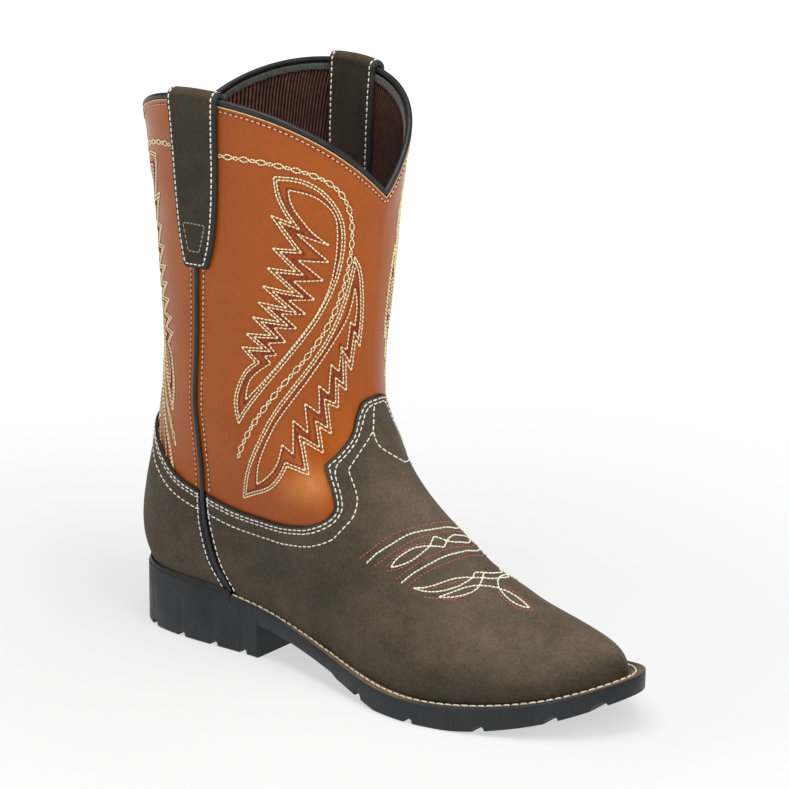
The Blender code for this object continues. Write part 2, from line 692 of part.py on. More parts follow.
def build_strap(name, side):
    """Pull strap: up the outside of the side seam, over the binding and down inside."""
    heights = column(STRAP_SHAPE, STRAP_COLUMNS, "height")
    widths = column(STRAP_SHAPE, STRAP_COLUMNS, "half_width")
    across = np.linspace(-1.0, 1.0, 7)
    up = np.array([0.0, 0.0, 1.0])
    level = BINDING_RADIUS + GAP - WALL / 2.0
    clear = BINDING_RADIUS + GAP + STRAP_CLEARANCE
    low, high = [], []

    def place(v, half, inside=False):
        """Points across the strap and their outward directions, level at the rim."""
        middle = seam_angle(1.0, side) - INNER_LEG_LEAN * (1.0 - v) if inside else seam_angle(v, side)
        angle = middle + across * half / arc_speed(middle, v, side)
        rows = np.full_like(angle, v)
        out = surface_normal(angle, rows, side)
        if v == 1.0:
            out[..., 2] = 0.0
        return last_surface(angle, rows, side), unit(out)

    def add_row(point, way, away):
        low.append(point + way * away)
        high.append(point + way * (away + STRAP_THICKNESS))

    for v in np.r_[heights[:-1], np.linspace(heights[-2], 1.0, 5)[1:]]:
        point, out = place(v, float(np.interp(v, heights, widths)))
        rise = np.interp(v, (STRAP_RISE_START, 1.0), (STRAP_GAP, level + STRAP_CLEARANCE))
        add_row(point, out, rise)
    point, out = place(1.0, widths[-1])
    centre = point - out * (WALL / 2.0) + up * clear
    for turn in np.linspace(0.0, math.pi, 7):
        add_row(centre, out * math.cos(turn) + up * math.sin(turn), clear)
    for v in np.linspace(1.0, STRAP_INNER_END, 7):
        point, out = place(v, widths[-1], True)
        at_rim = level + STRAP_CLEARANCE
        fall = np.interp(v, (STRAP_FALL_END, 1.0), (STRAP_INNER_GAP, at_rim))
        add_row(point, -out, WALL + fall)
    return turn_outward(add_solid(name, *shell(np.stack(high), np.stack(low), False), COLOURS["foot"], 0.8))


def centre_on_origin(parts):
    """Moves the boot so that the origin lies under the middle of its bounding box."""
    points = np.array([vertex.co[:] for part in parts for vertex in part.data.vertices])
    middle = (points.min(axis=0) + points.max(axis=0)) / 2.0
    for obj in bpy.data.objects:
        obj.location = (-middle[0], -middle[1], 0.0)


def build():
    for obj in list(bpy.data.objects):
        bpy.data.objects.remove(obj, do_unlink=True)
    parts = [build_outsole(), build_welt(), build_insole(), *build_upper()]
    parts += [build_strap("pull_strap_lateral", -1), build_strap("pull_strap_medial", 1)]
    centre_on_origin(parts)


build()
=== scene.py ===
"""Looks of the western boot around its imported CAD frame.

Shapes are worked out in millimetres from the back of the heel, as in the part's source: x to the
toe, y to the wearer's left, z up. add_mesh() turns them into the frame's metres.
"""

import math

import bmesh
import bpy
import numpy as np
from mathutils import Matrix, Vector
from mathutils.bvhtree import BVHTree
from mathutils.kdtree import KDTree


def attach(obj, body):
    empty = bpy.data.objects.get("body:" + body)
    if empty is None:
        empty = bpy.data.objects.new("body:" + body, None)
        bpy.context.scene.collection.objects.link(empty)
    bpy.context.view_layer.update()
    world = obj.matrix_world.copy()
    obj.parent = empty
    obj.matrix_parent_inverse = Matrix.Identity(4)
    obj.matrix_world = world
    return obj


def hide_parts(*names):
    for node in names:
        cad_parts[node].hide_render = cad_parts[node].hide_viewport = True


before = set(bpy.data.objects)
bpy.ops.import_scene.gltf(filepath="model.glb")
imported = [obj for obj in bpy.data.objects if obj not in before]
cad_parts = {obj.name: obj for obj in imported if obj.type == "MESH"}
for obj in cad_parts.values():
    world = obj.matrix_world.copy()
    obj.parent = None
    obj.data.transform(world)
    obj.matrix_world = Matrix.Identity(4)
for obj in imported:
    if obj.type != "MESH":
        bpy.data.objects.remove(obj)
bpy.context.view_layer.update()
RANDOM = np.random.default_rng(7)
MM = 0.001
TINY = 1e-9

# The back of the heel is where lengths start
HEEL = min((v.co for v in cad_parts["outsole"].data.vertices), key=lambda co: co.x)
ORIGIN = np.array([HEEL.x, HEEL.y, 0.0])


def table(names, *rows):
    """Columns of a table by their names."""
    return {name: np.array(values, float) for name, values in zip(names.split(), zip(*rows))}


# Sole sizes
SOLE_LENGTH = 246.0
TOE_TIP_Y = 4.0
HEEL_BREAST_X = 75.0
HEEL_HEIGHT = 27.0
WELT_START_X = 60.0
WELT_THICKNESS = 2.6
GROOVE_WIDTH = 4.6
GROOVE_DEPTH = 2.2
HEEL_GROOVES_X = (15.0, 33.0, 51.0, 67.0)
TREAD_GROOVES_X = (139.0, 168.0, 198.0, 224.0, 238.0)
FLAT_START_X = 149.0
SPRING_START_X = 185.0

# Upper sizes
GAP = 0.3
FEATHER_GAP = 0.4
WALL = 2.0
OVERLAY_THICKNESS = 1.3
OVERLAY_SEAT = 1.2
COLLAR_SIDE_Z = 241.3
FRONT_DIP_POWER = 2.0
BACK_DIP_POWER = {-1: 2.0, 1: 2.2}
SCALLOP_START = 0.66
SCALLOP_EASE = 0.35
SCALLOP_POWER = 1.5
SAG_END = 0.42
SAG_POWER = 1.5
ARCH_POWER = 1.75
ARCH_ROOT = 1.44
SIDE_FULLNESS = 0.16
HEEL_FULLNESS = 0.07
HEEL_SWELL_HEIGHT = 55.0
HEEL_SWELL_X = (20.0, 80.0)
HEEL_PULL_POWER = 3
CREST_CLIMB = 14.0
LEG_BACK_ROUND = 0.92
FOOT_ROW_POWER = 1.15
SEAT_SHARE = 0.35

# Trim sizes
BINDING_RADIUS = 1.4
PIPING_RADIUS = 1.1
PIPING_FLATNESS = 0.7
SEAM_GROOVE = 1.9
PIPING_TOP = 0.777
STRAP_THICKNESS = 1.9
STRAP_GAP = 0.4
STRAP_OUTER_END = 0.782
STRAP_INNER_END = 0.815
STRAP_INNER_GAP = 0.55
STRAP_CLEARANCE = 0.15
STRAP_RISE_START = 0.88
STRAP_FALL_END = 0.90
INNER_LEG_LEAN = 0.35
INSOLE_INSET = 4.3

# Plan outline of the sole: how far it reaches to each side at each station
SOLE_PLAN = table(
    "x lateral medial",
    (4.2, 15.5, 15.0),
    (16.5, 25.6, 25.2),
    (42.0, 28.8, 28.3),
    (72.0, 28.5, 27.0),
    (108.0, 33.5, 29.5),
    (140.0, 42.6, 37.5),
    (168.0, 46.9, 42.4),
    (197.0, 40.0, 40.7),
    (220.0, 29.0, 33.5),
    (233.5, 17.6, 24.8),
    (242.5, 6.0, 14.0),
)

# Side profile of the sole: top of the welt, underside, and how far the upper stands in
SOLE_SIDE = table(
    "x top underside margin",
    (-4.0, 27.1, 18.5, 2.6),
    (30.0, 26.3, 17.8, 2.1),
    (62.0, 24.6, 16.6, 2.2),
    (95.0, 19.3, 12.0, 2.7),
    (121.0, 14.3, 7.2, 3.5),
    (125.0, 13.6, 5.4, 3.7),
    (149.0, 10.5, 0.0, 4.7),
    (165.0, 9.8, 0.0, 5.0),
    (185.0, 10.4, 0.0, 5.3),
    (210.0, 13.6, 3.9, 5.9),
    (230.0, 18.6, 9.6, 6.7),
    (250.0, 26.4, 18.0, 7.6),
)

# Sections of the upper, from the feather line at the sole up to the collar
UPPER_SECTIONS = {
    "feather": (238.5, 22.6, 3.2, 27.3, 30.0, 0.00, 1.00),
    "toe_wall": (237.0, 30.7, -1.3, 36.0, 31.0, 0.00, 1.00),
    "toe_top": (228.0, 37.6, -2.7, 45.0, 32.5, 0.02, 1.00),
    "toe_box": (207.0, 43.6, -2.2, 54.0, 34.0, 0.08, 1.05),
    "ball": (182.0, 50.4, -0.6, 64.0, 35.0, 0.20, 1.15),
    "vamp": (157.0, 64.4, 2.0, 75.0, 35.8, 0.42, 1.40),
    "instep": (134.0, 82.2, 5.6, 90.0, 36.9, 0.70, 1.50),
    "throat": (117.5, 108.0, 9.8, 108.0, 38.0, 0.93, 1.40),
    "ankle": (114.5, 132.0, 11.9, 130.0, 40.0, 1.00, 1.15),
    "calf": (116.2, 160.0, 10.6, 160.0, 43.6, 1.00, 1.00),
    "leg": (117.9, 182.0, 7.8, 190.0, 47.1, 1.00, 0.95),
    "collar": (120.0, 201.6, 6.0, 207.5, 50.1, 1.00, 0.92),
}
UPPER = table(
    "front_x front_z back_x back_z half_width leg_share front_round", *UPPER_SECTIONS.values())

# Ridge line of the last seen from above
RIDGE = table(
    "x y",
    (0.0, 0.0), (100.0, 0.0), (140.0, 0.0), (172.0, -0.8), (205.0, 1.4), (240.0, 4.0),
)

# Side seams: angle round the section at each height
SEAM = table(
    "height lateral medial",
    (0.00, 2.125, 2.125),
    (0.12, 2.160, 2.160),
    (0.28, 2.128, 2.128),
    (0.43, 2.023, 2.015),
    (0.58, 1.885, 1.846),
    (0.70, 1.800, 1.735),
    (0.78, 1.735, 1.653),
    (1.00, 1.625, 1.500),
)

# Top edge of the vamp, from the middle of the tongue round to the side seam; it has a corner
VAMP_EDGE = table(
    "share height",
    (0.000, 0.672), (0.075, 0.671), (0.150, 0.666), (0.205, 0.648), (0.260, 0.623),
    (0.350, 0.599), (0.445, 0.578), (0.468, 0.535), (0.505, 0.500), (0.580, 0.464),
    (0.680, 0.433), (0.780, 0.414), (0.880, 0.410), (1.000, 0.430),
)
VAMP_CORNER = 0.445

# Top edge of the counter, from the side seam round to the back
COUNTER_EDGE = table(
    "share height",
    (0.00, 0.433), (0.16, 0.452), (0.34, 0.492), (0.60, 0.545), (1.00, 0.575),
)

# Pull strap: half width at each height
STRAP_SHAPE = table(
    "height half_width",
    (0.782, 6.2), (0.787, 7.3), (0.806, 9.8), (0.833, 11.3), (0.870, 12.2), (1.000, 13.0),
)

# Soft creases: the sides that have one, its start and end as share of the front half and height,
# its half width and its rise
CREASES = (
    ((-1,), (0.98, 0.585), (0.46, 0.640), 7.0, -1.0),
    ((1,), (0.98, 0.580), (0.46, 0.640), 7.0, -1.0),
    ((-1, 1), (0.66, 0.520), (0.40, 0.560), 8.0, 0.9),
    ((-1,), (0.70, 0.690), (0.30, 0.735), 9.0, -0.6),
    ((1,), (0.75, 0.690), (0.30, 0.720), 9.0, -0.6),
    ((-1, 1), (0.00, 0.455), (0.42, 0.330), 7.0, -0.8),
    ((-1, 1), (0.05, 0.380), (0.40, 0.255), 6.0, 0.5),
)

# Stitch pattern of a half panel: millimetres from the side seam and above the floor. A feather has
# a spine, a crown and a tail, which are curves, and teeth, which are corners.
LARGE_FEATHER = {
    "spine": (
        (36.5, 213.5), (47.0, 212.8), (57.0, 207.0), (63.5, 197.5), (65.3, 188.0), (63.5, 174.0),
        (56.5, 156.5), (44.0, 137.0), (30.0, 116.8), (23.0, 105.0),
    ),
    "crown": ((36.5, 213.5), (37.2, 207.0), (40.2, 199.5), (43.6, 194.2)),
    "teeth": (
        (35.1, 197.4), (45.2, 183.0), (35.6, 183.4), (45.2, 173.8), (33.4, 174.8), (44.6, 164.6),
        (31.5, 166.9), (41.9, 158.0), (29.7, 159.9), (39.0, 152.0), (27.5, 153.2), (35.7, 146.0),
        (25.0, 145.7), (32.5, 139.9), (23.0, 139.5), (29.5, 133.5),
    ),
    "tail": ((29.5, 133.5), (25.4, 129.6), (22.2, 122.8), (21.0, 114.7), (23.0, 105.0)),
}
LARGE_HEART = {
    "spine": (
        (42.4, 208.3), (52.8, 205.4), (60.6, 197.8), (62.1, 188.0), (59.2, 167.0), (49.2, 147.6),
        (35.7, 128.4), (26.1, 116.4),
    ),
    "crown": ((42.4, 208.3), (43.4, 202.6), (46.7, 196.9), (51.7, 190.5), (58.8, 184.7)),
    "teeth": (
        (45.6, 190.0), (58.7, 177.5), (46.2, 178.6), (56.5, 169.8), (44.4, 169.6), (53.1, 161.7),
        (42.4, 161.4), (49.6, 155.6), (39.6, 155.4), (46.2, 149.3), (36.9, 149.3), (42.0, 143.2),
        (34.6, 142.4), (38.4, 137.2), (33.3, 136.6), (36.0, 133.4),
    ),
    "tail": ((36.0, 133.4), (30.4, 129.0), (26.8, 123.5), (26.1, 116.4)),
}
SMALL_FEATHER = {
    "spine": (
        (69.9, 178.8), (66.0, 163.1), (59.0, 145.0), (47.0, 125.5), (40.5, 115.5), (34.5, 104.0),
        (28.5, 91.0), (23.9, 78.8), (22.4, 70.9),
    ),
    "crown": ((69.7, 179.0), (72.2, 174.5), (73.8, 166.0), (74.4, 153.0), (73.4, 139.5)),
    "teeth": (
        (71.3, 143.0), (70.0, 129.7), (67.1, 134.3), (68.3, 121.3), (64.6, 124.6), (65.3, 114.2),
        (60.7, 116.4), (63.2, 103.8), (58.0, 106.9), (60.4, 96.3), (51.7, 100.8), (55.5, 87.2),
        (45.5, 90.1),
    ),
    "tail": ((45.5, 90.1), (43.0, 84.5), (37.5, 78.5), (31.0, 75.0), (22.4, 70.9)),
}
SMALL_HEART = {
    "spine": (
        (70.1, 165.4), (67.5, 154.0), (62.0, 143.5), (53.2, 128.9), (40.2, 108.1), (35.1, 96.8),
        (31.9, 87.5), (30.6, 79.2),
    ),
    "crown": ((70.1, 165.4), (71.1, 161.0), (71.2, 155.0), (70.7, 148.9)),
    "teeth": (
        (68.6, 151.0), (67.5, 139.1), (64.9, 140.6), (64.6, 129.9), (61.0, 133.2), (60.8, 120.4),
        (56.4, 124.3), (57.6, 112.2), (51.2, 116.6), (53.5, 104.2), (46.9, 109.2), (47.9, 95.2),
        (42.9, 98.9),
    ),
    "tail": ((42.9, 98.9), (41.5, 91.5), (37.2, 84.5), (30.6, 79.2)),
}
CHAIN = (
    (0.0, 220.0), (20.0, 220.0), (36.5, 218.6), (52.0, 214.6), (61.5, 208.8), (66.8, 200.5),
    (68.5, 190.0), (66.8, 173.5), (60.0, 152.5), (50.2, 135.8), (39.3, 121.1), (30.4, 106.9),
    (25.0, 97.5), (21.6, 89.3),
)

# Stitch pattern of the vamp: millimetres along the foot and out from the ridge, lateral half.
# A curve that ends on the pattern's axis runs on across it.
BUG_AXIS = table("x out", (152.0, -3.5), (162.0, -3.0), (200.0, -3.0))
BUG_CREAM = (
    ((132.0, 41.0), (135.5, 32.5), (139.0, 25.5), (143.5, 16.0), (147.5, 9.5), (151.0, 3.5), (153.0, -3.5)),
    ((149.0, 33.5), (151.0, 28.5), (154.0, 22.5), (157.0, 16.0), (160.0, 9.0), (162.5, 3.5), (164.0, -3.0)),
    ((142.5, 32.0), (143.0, 29.0), (144.5, 25.0), (148.0, 18.0), (152.5, 12.5)),
    ((142.5, 32.0), (147.0, 26.5), (150.5, 20.0), (152.5, 12.5)),
    ((152.5, 12.5), (157.0, 8.0)),
    ((157.0, 8.0), (156.0, 5.0)),
    ((152.5, 12.5), (151.5, 8.0)),
    ((151.5, 8.0), (156.0, 5.0)),
    ((156.0, 5.0), (156.0, 1.0), (156.5, -3.3)),
    ((156.0, 5.0), (158.5, 2.0), (160.0, -3.1)),
    ((154.5, 31.0), (159.5, 26.3), (165.0, 18.0), (169.0, 12.0), (172.3, 8.6)),
    ((154.5, 31.0), (160.0, 28.0), (166.5, 21.5), (170.5, 14.5), (172.3, 8.6)),
    ((172.3, 8.6), (175.0, 5.5)),
    ((172.3, 8.6), (171.5, 6.0)),
    ((171.5, 6.0), (174.0, 3.0)),
    ((174.0, 3.0), (175.0, 5.5)),
    ((175.0, 5.5), (178.3, 2.0), (179.6, -3.0)),
    ((174.0, 3.0), (176.0, 0.6), (176.6, -3.0)),
    ((165.5, 26.0), (169.0, 23.0), (172.5, 19.0), (175.0, 15.0), (176.2, 10.5), (175.0, 5.5)),
)
BUG_RED = (
    ((128.5, 43.5), (132.5, 34.5), (138.0, 22.0), (143.5, 12.5), (148.0, 4.5), (150.5, -3.5)),
    ((135.5, 38.5), (141.5, 26.0), (147.5, 13.5), (152.5, 4.5), (154.5, -3.4)),
    ((141.0, 33.0), (143.0, 26.5), (147.0, 18.0), (152.0, 11.5)),
    ((141.0, 35.0), (146.0, 29.5), (150.0, 22.0), (152.5, 14.0)),
    ((146.0, 34.5), (150.5, 25.0), (155.0, 15.0), (158.5, 7.0), (161.0, 1.0), (162.0, -3.0)),
    ((152.0, 32.5), (155.5, 24.0), (160.0, 15.0), (163.5, 7.0), (165.5, 2.0), (166.5, -3.0)),
    ((161.0, 26.0), (165.5, 19.5), (170.5, 12.0)),
    ((160.0, 30.5), (166.5, 26.0), (173.0, 19.5), (176.5, 11.5)),
)

# Rows of the pattern's tip, which leans to the lateral side and isn't mirrored
TIP_CREAM = (
    ((165.5, 26.0), (169.5, 19.5), (174.0, 12.0), (179.5, 6.5), (182.5, 4.5)),
    ((165.5, -32.0), (169.5, -25.5), (174.0, -17.0), (177.3, -7.5), (179.0, -0.5), (180.5, 2.8),
     (182.5, 4.5)),
    ((182.5, 4.5), (185.0, 5.5), (188.5, 6.1), (191.5, 6.0), (194.5, 5.4), (197.0, 4.0)),
    ((182.5, 4.5), (185.0, 3.5), (188.5, 2.6), (192.5, 2.9), (197.0, 4.0)),
)
TIP_RED = (
    ((183.0, 6.2), (187.0, 7.4), (191.5, 7.5), (195.5, 6.6), (199.0, 4.4)),
    ((183.5, 2.6), (187.0, 1.3), (191.5, 1.2), (195.5, 2.2), (199.0, 4.4)),
)

# Inner stitch rows of the tongue: share of the front half, lateral below 0, and height. Two rows
# meet beside the ridge and one climbs from there.
TONGUE_CLIMB = ((-0.140, 0.620), (-0.070, 0.657))
TONGUE_LATERAL = ((-0.140, 0.620), (-0.255, 0.597), (-0.361, 0.569))
TONGUE_LOOP = (
    (-0.361, 0.569), (-0.366, 0.552), (-0.391, 0.521), (-0.429, 0.498), (-0.459, 0.482), (-0.547, 0.438),
)
TONGUE_MEDIAL = (
    (-0.140, 0.620), (-0.145, 0.603), (-0.110, 0.593), (-0.035, 0.583), (0.080, 0.574), (0.220, 0.566),
    (0.340, 0.552), (0.400, 0.521), (0.459, 0.482), (0.547, 0.438),
)
TONGUE_LEAVE_Z = 63.0


# Curves

def spline(xs, ys, x):
    """Natural cubic spline through the points (xs, ys), read at x."""
    xs, ys, x = (np.asarray(values, float) for values in (xs, ys, x))
    count = len(xs)
    step = np.diff(xs)
    matrix = np.zeros((count, count))
    right = np.zeros(count)
    matrix[0, 0] = matrix[-1, -1] = 1.0
    for i in range(1, count - 1):
        matrix[i, i - 1: i + 2] = step[i - 1], 2.0 * (step[i - 1] + step[i]), step[i]
        right[i] = 6.0 * ((ys[i + 1] - ys[i]) / step[i] - (ys[i] - ys[i - 1]) / step[i - 1])
    bend = np.linalg.solve(matrix, right)
    i = np.clip(np.searchsorted(xs, x) - 1, 0, count - 2)
    t = x - xs[i]
    width = step[i]
    slope = (ys[i + 1] - ys[i]) / width - width * (2.0 * bend[i] + bend[i + 1]) / 6.0
    return ys[i] + t * slope + t * t * bend[i] / 2.0 + t ** 3 * (bend[i + 1] - bend[i]) / (6.0 * width)


def monotone(xs, ys, x):
    """Smooth curve through the points that never overshoots them."""
    xs, ys, x = (np.asarray(values, float) for values in (xs, ys, x))
    step = np.diff(xs)
    rise = np.diff(ys) / step
    slope = np.zeros(len(xs))
    slope[0], slope[-1] = rise[0], rise[-1]
    same = rise[:-1] * rise[1:] > 0.0
    slope[1:-1][same] = 2.0 / (1.0 / rise[:-1][same] + 1.0 / rise[1:][same])
    i = np.clip(np.searchsorted(xs, x) - 1, 0, len(xs) - 2)
    t = (x - xs[i]) / step[i]
    rest = 1.0 - t
    return (ys[i] * rest * rest * (1.0 + 2.0 * t) + ys[i + 1] * t * t * (3.0 - 2.0 * t)
            + step[i] * t * rest * (slope[i] * rest - slope[i + 1] * t))


def unit(vectors):
    """Vectors at length 1."""
    return vectors / np.maximum(np.linalg.norm(vectors, axis=-1)[..., None], TINY)


def lengths(path, power=1.0):
    """Running length of a path at its points; steps to the power 0.5 suit a spline through them."""
    return np.r_[0.0, np.cumsum(np.linalg.norm(np.diff(path, axis=0), axis=1) ** power)]


def read_at(s, path, at):
    """Points of a path at the lengths `at`, straight between its own points, which lie at s."""
    return np.stack([np.interp(at, s, path[:, c]) for c in range(path.shape[1])], axis=-1)


def curve_at(s, path, at):
    """Points at the lengths `at` of a smooth curve through a path's points, which lie at s."""
    return np.stack([spline(s, path[:, c], at) for c in range(path.shape[1])], axis=-1)


# Shape of the sole and the last

LOOP_WRAP = 4
OUTLINE_STEP = 1e-3
OUTLINE_POINTS = 480
CREST_POINTS = 600
ANGLE_STEP = 0.01
HEIGHT_STEP = 0.004
THROAT_NEAR = 0.05
LEAST_ARCH = 1e-3


def side_profile(name, x):
    """Smooth value of a sole side column at the length x."""
    return spline(SOLE_SIDE["x"], SOLE_SIDE[name], x)


def sole_top(x):
    """Height of the welt's top."""
    return side_profile("top", x)


def underside(x):
    """Underside of the forepart and waist: straight between the table's rows, round at the toe."""
    flat = np.interp(x, SOLE_SIDE["x"], SOLE_SIDE["underside"])
    smooth = np.maximum(side_profile("underside", x), 0.0)
    return np.where(np.asarray(x) > SPRING_START_X, smooth, flat)


def sole_outline(q):
    """Points and inward normals of the sole's plan outline; q runs 0 to 1 from the toe tip
    round the lateral side, the heel and the medial side."""
    x = SOLE_PLAN["x"]
    lateral, medial = np.c_[x, -SOLE_PLAN["lateral"]], np.c_[x, SOLE_PLAN["medial"]]
    loop = np.vstack([[(SOLE_LENGTH, TOE_TIP_Y)], lateral[::-1], [(0.0, 0.0)], medial])
    points = np.vstack([loop[-LOOP_WRAP:], loop, loop[: LOOP_WRAP + 1]])
    s = lengths(points, 0.5)
    at = s[LOOP_WRAP] + np.asarray(q, float) * (s[LOOP_WRAP + len(loop)] - s[LOOP_WRAP])
    place = curve_at(s, points, at)
    run = unit(curve_at(s, points, at + OUTLINE_STEP) - place)
    return place, np.c_[run[:, 1], -run[:, 0]]


def feather_outline(q):
    """Plan outline of the upper where it meets the sole."""
    place, inward = sole_outline(q)
    return place + inward * side_profile("margin", place[:, 0])[:, None]


def branches(loop):
    """Lateral and medial halves of a closed outline, each from the back to the tip."""
    loop = np.roll(loop, -int(loop[:, 0].argmax()), axis=0)
    back = int(loop[:, 0].argmin())
    return {-1: loop[: back + 1][::-1], 1: np.vstack([loop[back:], loop[:1]])}


def rising(values):
    """Values that may stand still or waver, made to rise for reading by interpolation."""
    return np.maximum.accumulate(values + np.arange(len(values)) * TINY)


FEATHER_SIDES = branches(feather_outline(np.linspace(0.0, 1.0, OUTLINE_POINTS, endpoint=False)))
SECTION_V = np.linspace(0.0, 1.0, len(UPPER_SECTIONS))


def section(name, v):
    """Smooth value of an upper column at the height share v."""
    return spline(SECTION_V, UPPER[name], v)


def sagged(height, x, v):
    """Height of a ring: the lower ones sag on to the curved sole."""
    front_x, front_z, back_x, back_z = UPPER_SECTIONS["feather"][:4]
    along = np.clip((x - back_x) / (front_x - back_x), 0.0, 1.0)
    straight = back_z + (front_z - back_z) * along
    sag = np.clip(1.0 - v / SAG_END, 0.0, 1.0) ** SAG_POWER
    return height + (sole_top(x) + FEATHER_GAP - straight) * sag


CREST_V = np.linspace(0.0, 1.0, CREST_POINTS)
CREST_X = section("front_x", CREST_V)
CREST_Z = sagged(section("front_z", CREST_V), CREST_X, CREST_V)
THROAT = int(np.argmax(CREST_X <= CREST_X.min() + THROAT_NEAR))
RIDGE_X, RIDGE_Z, RIDGE_V = (values[: THROAT + 1][::-1] for values in (CREST_X, CREST_Z, CREST_V))


def crest_height(x):
    """Height of the ridge over the vamp; behind the throat it climbs out of reach."""
    climb = RIDGE_Z[0] + (RIDGE_X[0] - x) * CREST_CLIMB
    return np.where(x < RIDGE_X[0], climb, np.interp(x, RIDGE_X, RIDGE_Z))


def last_surface(angle, v, side):
    """Outer surface of the upper. angle runs from 0 at the front to pi at the back,
    v from 0 at the feather line to 1 at the collar, side is -1 lateral or 1 medial."""
    angle, v = np.broadcast_arrays(np.asarray(angle, float), np.asarray(v, float))
    front_x, front_z = section("front_x", v), section("front_z", v)
    back_x, back_z = section("back_x", v), section("back_z", v)
    leg = np.clip(section("leg_share", v), 0.0, 1.0)
    share = (1.0 + np.cos(angle)) / 2.0
    x = back_x + (front_x - back_x) * share
    ends = back_z + (front_z - back_z) * share

    # The upper rings rise to the scalloped collar
    lift = np.clip((v - SCALLOP_START) / (1.0 - SCALLOP_START), 0.0, 1.0)
    lift = SCALLOP_EASE * lift * lift * (3.0 - 2.0 * lift) + (1.0 - SCALLOP_EASE) * lift ** SCALLOP_POWER
    power = np.where(angle < math.pi / 2, FRONT_DIP_POWER, BACK_DIP_POWER[side])
    scallop = 1.0 - np.abs(1.0 - angle / (math.pi / 2)) ** power
    z = sagged(ends, x, v) + lift * (COLLAR_SIDE_Z - ends) * scallop

    # Foot: the feather outline under an arch that closes at the ridge
    floor = sole_top(x)
    height = np.clip((z - floor) / np.maximum(crest_height(x) - floor, LEAST_ARCH), 0.0, 1.0)
    arch = (1.0 - height ** ARCH_POWER) ** (1.0 / ARCH_ROOT)
    arch = arch * (1.0 + SIDE_FULLNESS * height * (1.0 - height) ** 2)
    feather = FEATHER_SIDES[side]
    foot_x = x - (back_x - feather[0, 0]) * (1.0 - share) ** HEEL_PULL_POWER
    width = np.interp(foot_x, rising(feather[:, 0]), feather[:, 1])
    swell = np.sin(np.clip((z - HEEL_HEIGHT) / HEEL_SWELL_HEIGHT, 0.0, 1.0) * math.pi)
    near_heel = np.interp(x, HEEL_SWELL_X, (1.0, 0.0))
    width = width * (1.0 + HEEL_FULLNESS * swell * near_heel)
    ridge = np.interp(x, RIDGE["x"], RIDGE["y"]) * (1.0 - leg)
    foot_y = ridge + (width - ridge) * arch

    # Leg: a rounded section with a sharper front over the instep
    roundness = np.where(angle < math.pi / 2, section("front_round", v), LEG_BACK_ROUND)
    leg_y = side * section("half_width", v) * np.abs(np.sin(angle)) ** roundness
    return np.stack([x, foot_y * (1.0 - leg) + leg_y * leg, z], axis=-1)


def seam_angle(v, side):
    """Angle of a side seam at the height share v."""
    return spline(SEAM["height"], SEAM["lateral" if side < 0 else "medial"], v)


def round_step(angle, v, side):
    """Short step round the surface, two small angles long."""
    return last_surface(angle + ANGLE_STEP, v, side) - last_surface(angle - ANGLE_STEP, v, side)


def arc_speed(angle, v, side):
    """Millimetres along the surface for each radian of angle."""
    return np.linalg.norm(round_step(angle, v, side), axis=-1) / (2.0 * ANGLE_STEP)


def beside_seam(v, side, distance):
    """Path on the last that far behind a side seam, or before it where the distance is below 0."""
    seam = seam_angle(v, side)
    return last_surface(seam + distance / arc_speed(seam, v, side), v, side)


def surface_normal(angle, v, side):
    """Outward unit normals of the last's surface."""
    low, high = np.clip(v - HEIGHT_STEP, 0.0, 1.0), np.clip(v + HEIGHT_STEP, 0.0, 1.0)
    upward = last_surface(angle, high, side) - last_surface(angle, low, side)
    out = unit(np.cross(round_step(angle, v, side), upward) * side)
    return out * np.sign(out[..., 1] * side)[..., None]


# Meshes

TUBE_END_GIRTH = 0.45
TUBE_END_LEAD = 0.7
LEATHER_SHARP = 50.0
MERGE_DISTANCE = 1e-6


def quads(rows, columns, closed, start=0, flip=False):
    """Faces of a grid of points numbered row by row from start."""
    last = columns if closed else columns - 1
    i, j = np.meshgrid(np.arange(rows - 1), np.arange(last), indexing="ij")
    k = (j + 1) % columns
    corners = (i * columns + j, i * columns + k, (i + 1) * columns + k, (i + 1) * columns + j)
    faces = start + np.stack(corners, axis=-1).reshape(-1, 4)
    return faces[:, ::-1] if flip else faces


def capped(rings, sides):
    """Faces of a row of rings with both ends closed."""
    last = (rings - 1) * sides
    caps = [list(range(sides))[::-1], list(range(last, last + sides))]
    return quads(rings, sides, True).tolist() + caps


def shell(outer, inner, closed):
    """Points, faces and face kinds of a wall between two grids: 0 outside, 1 inside, 2 edge."""
    rows, columns = outer.shape[:2]
    count = rows * columns
    j = np.arange(columns if closed else columns - 1)
    k = (j + 1) % columns
    last = (rows - 1) * columns
    borders = [(k, j), (last + j, last + k)]
    if not closed:
        a = np.arange(rows - 1) * columns
        b = a + columns
        borders += [(a, b), (b + columns - 1, a + columns - 1)]
    edge = np.vstack([np.stack([p, q, count + q, count + p], axis=-1) for p, q in borders])
    parts = [quads(rows, columns, closed), quads(rows, columns, closed, count, True), edge]
    kinds = np.repeat([0, 1, 2], [len(part) for part in parts])
    return np.vstack([outer.reshape(-1, 3), inner.reshape(-1, 3)]), np.vstack(parts), kinds


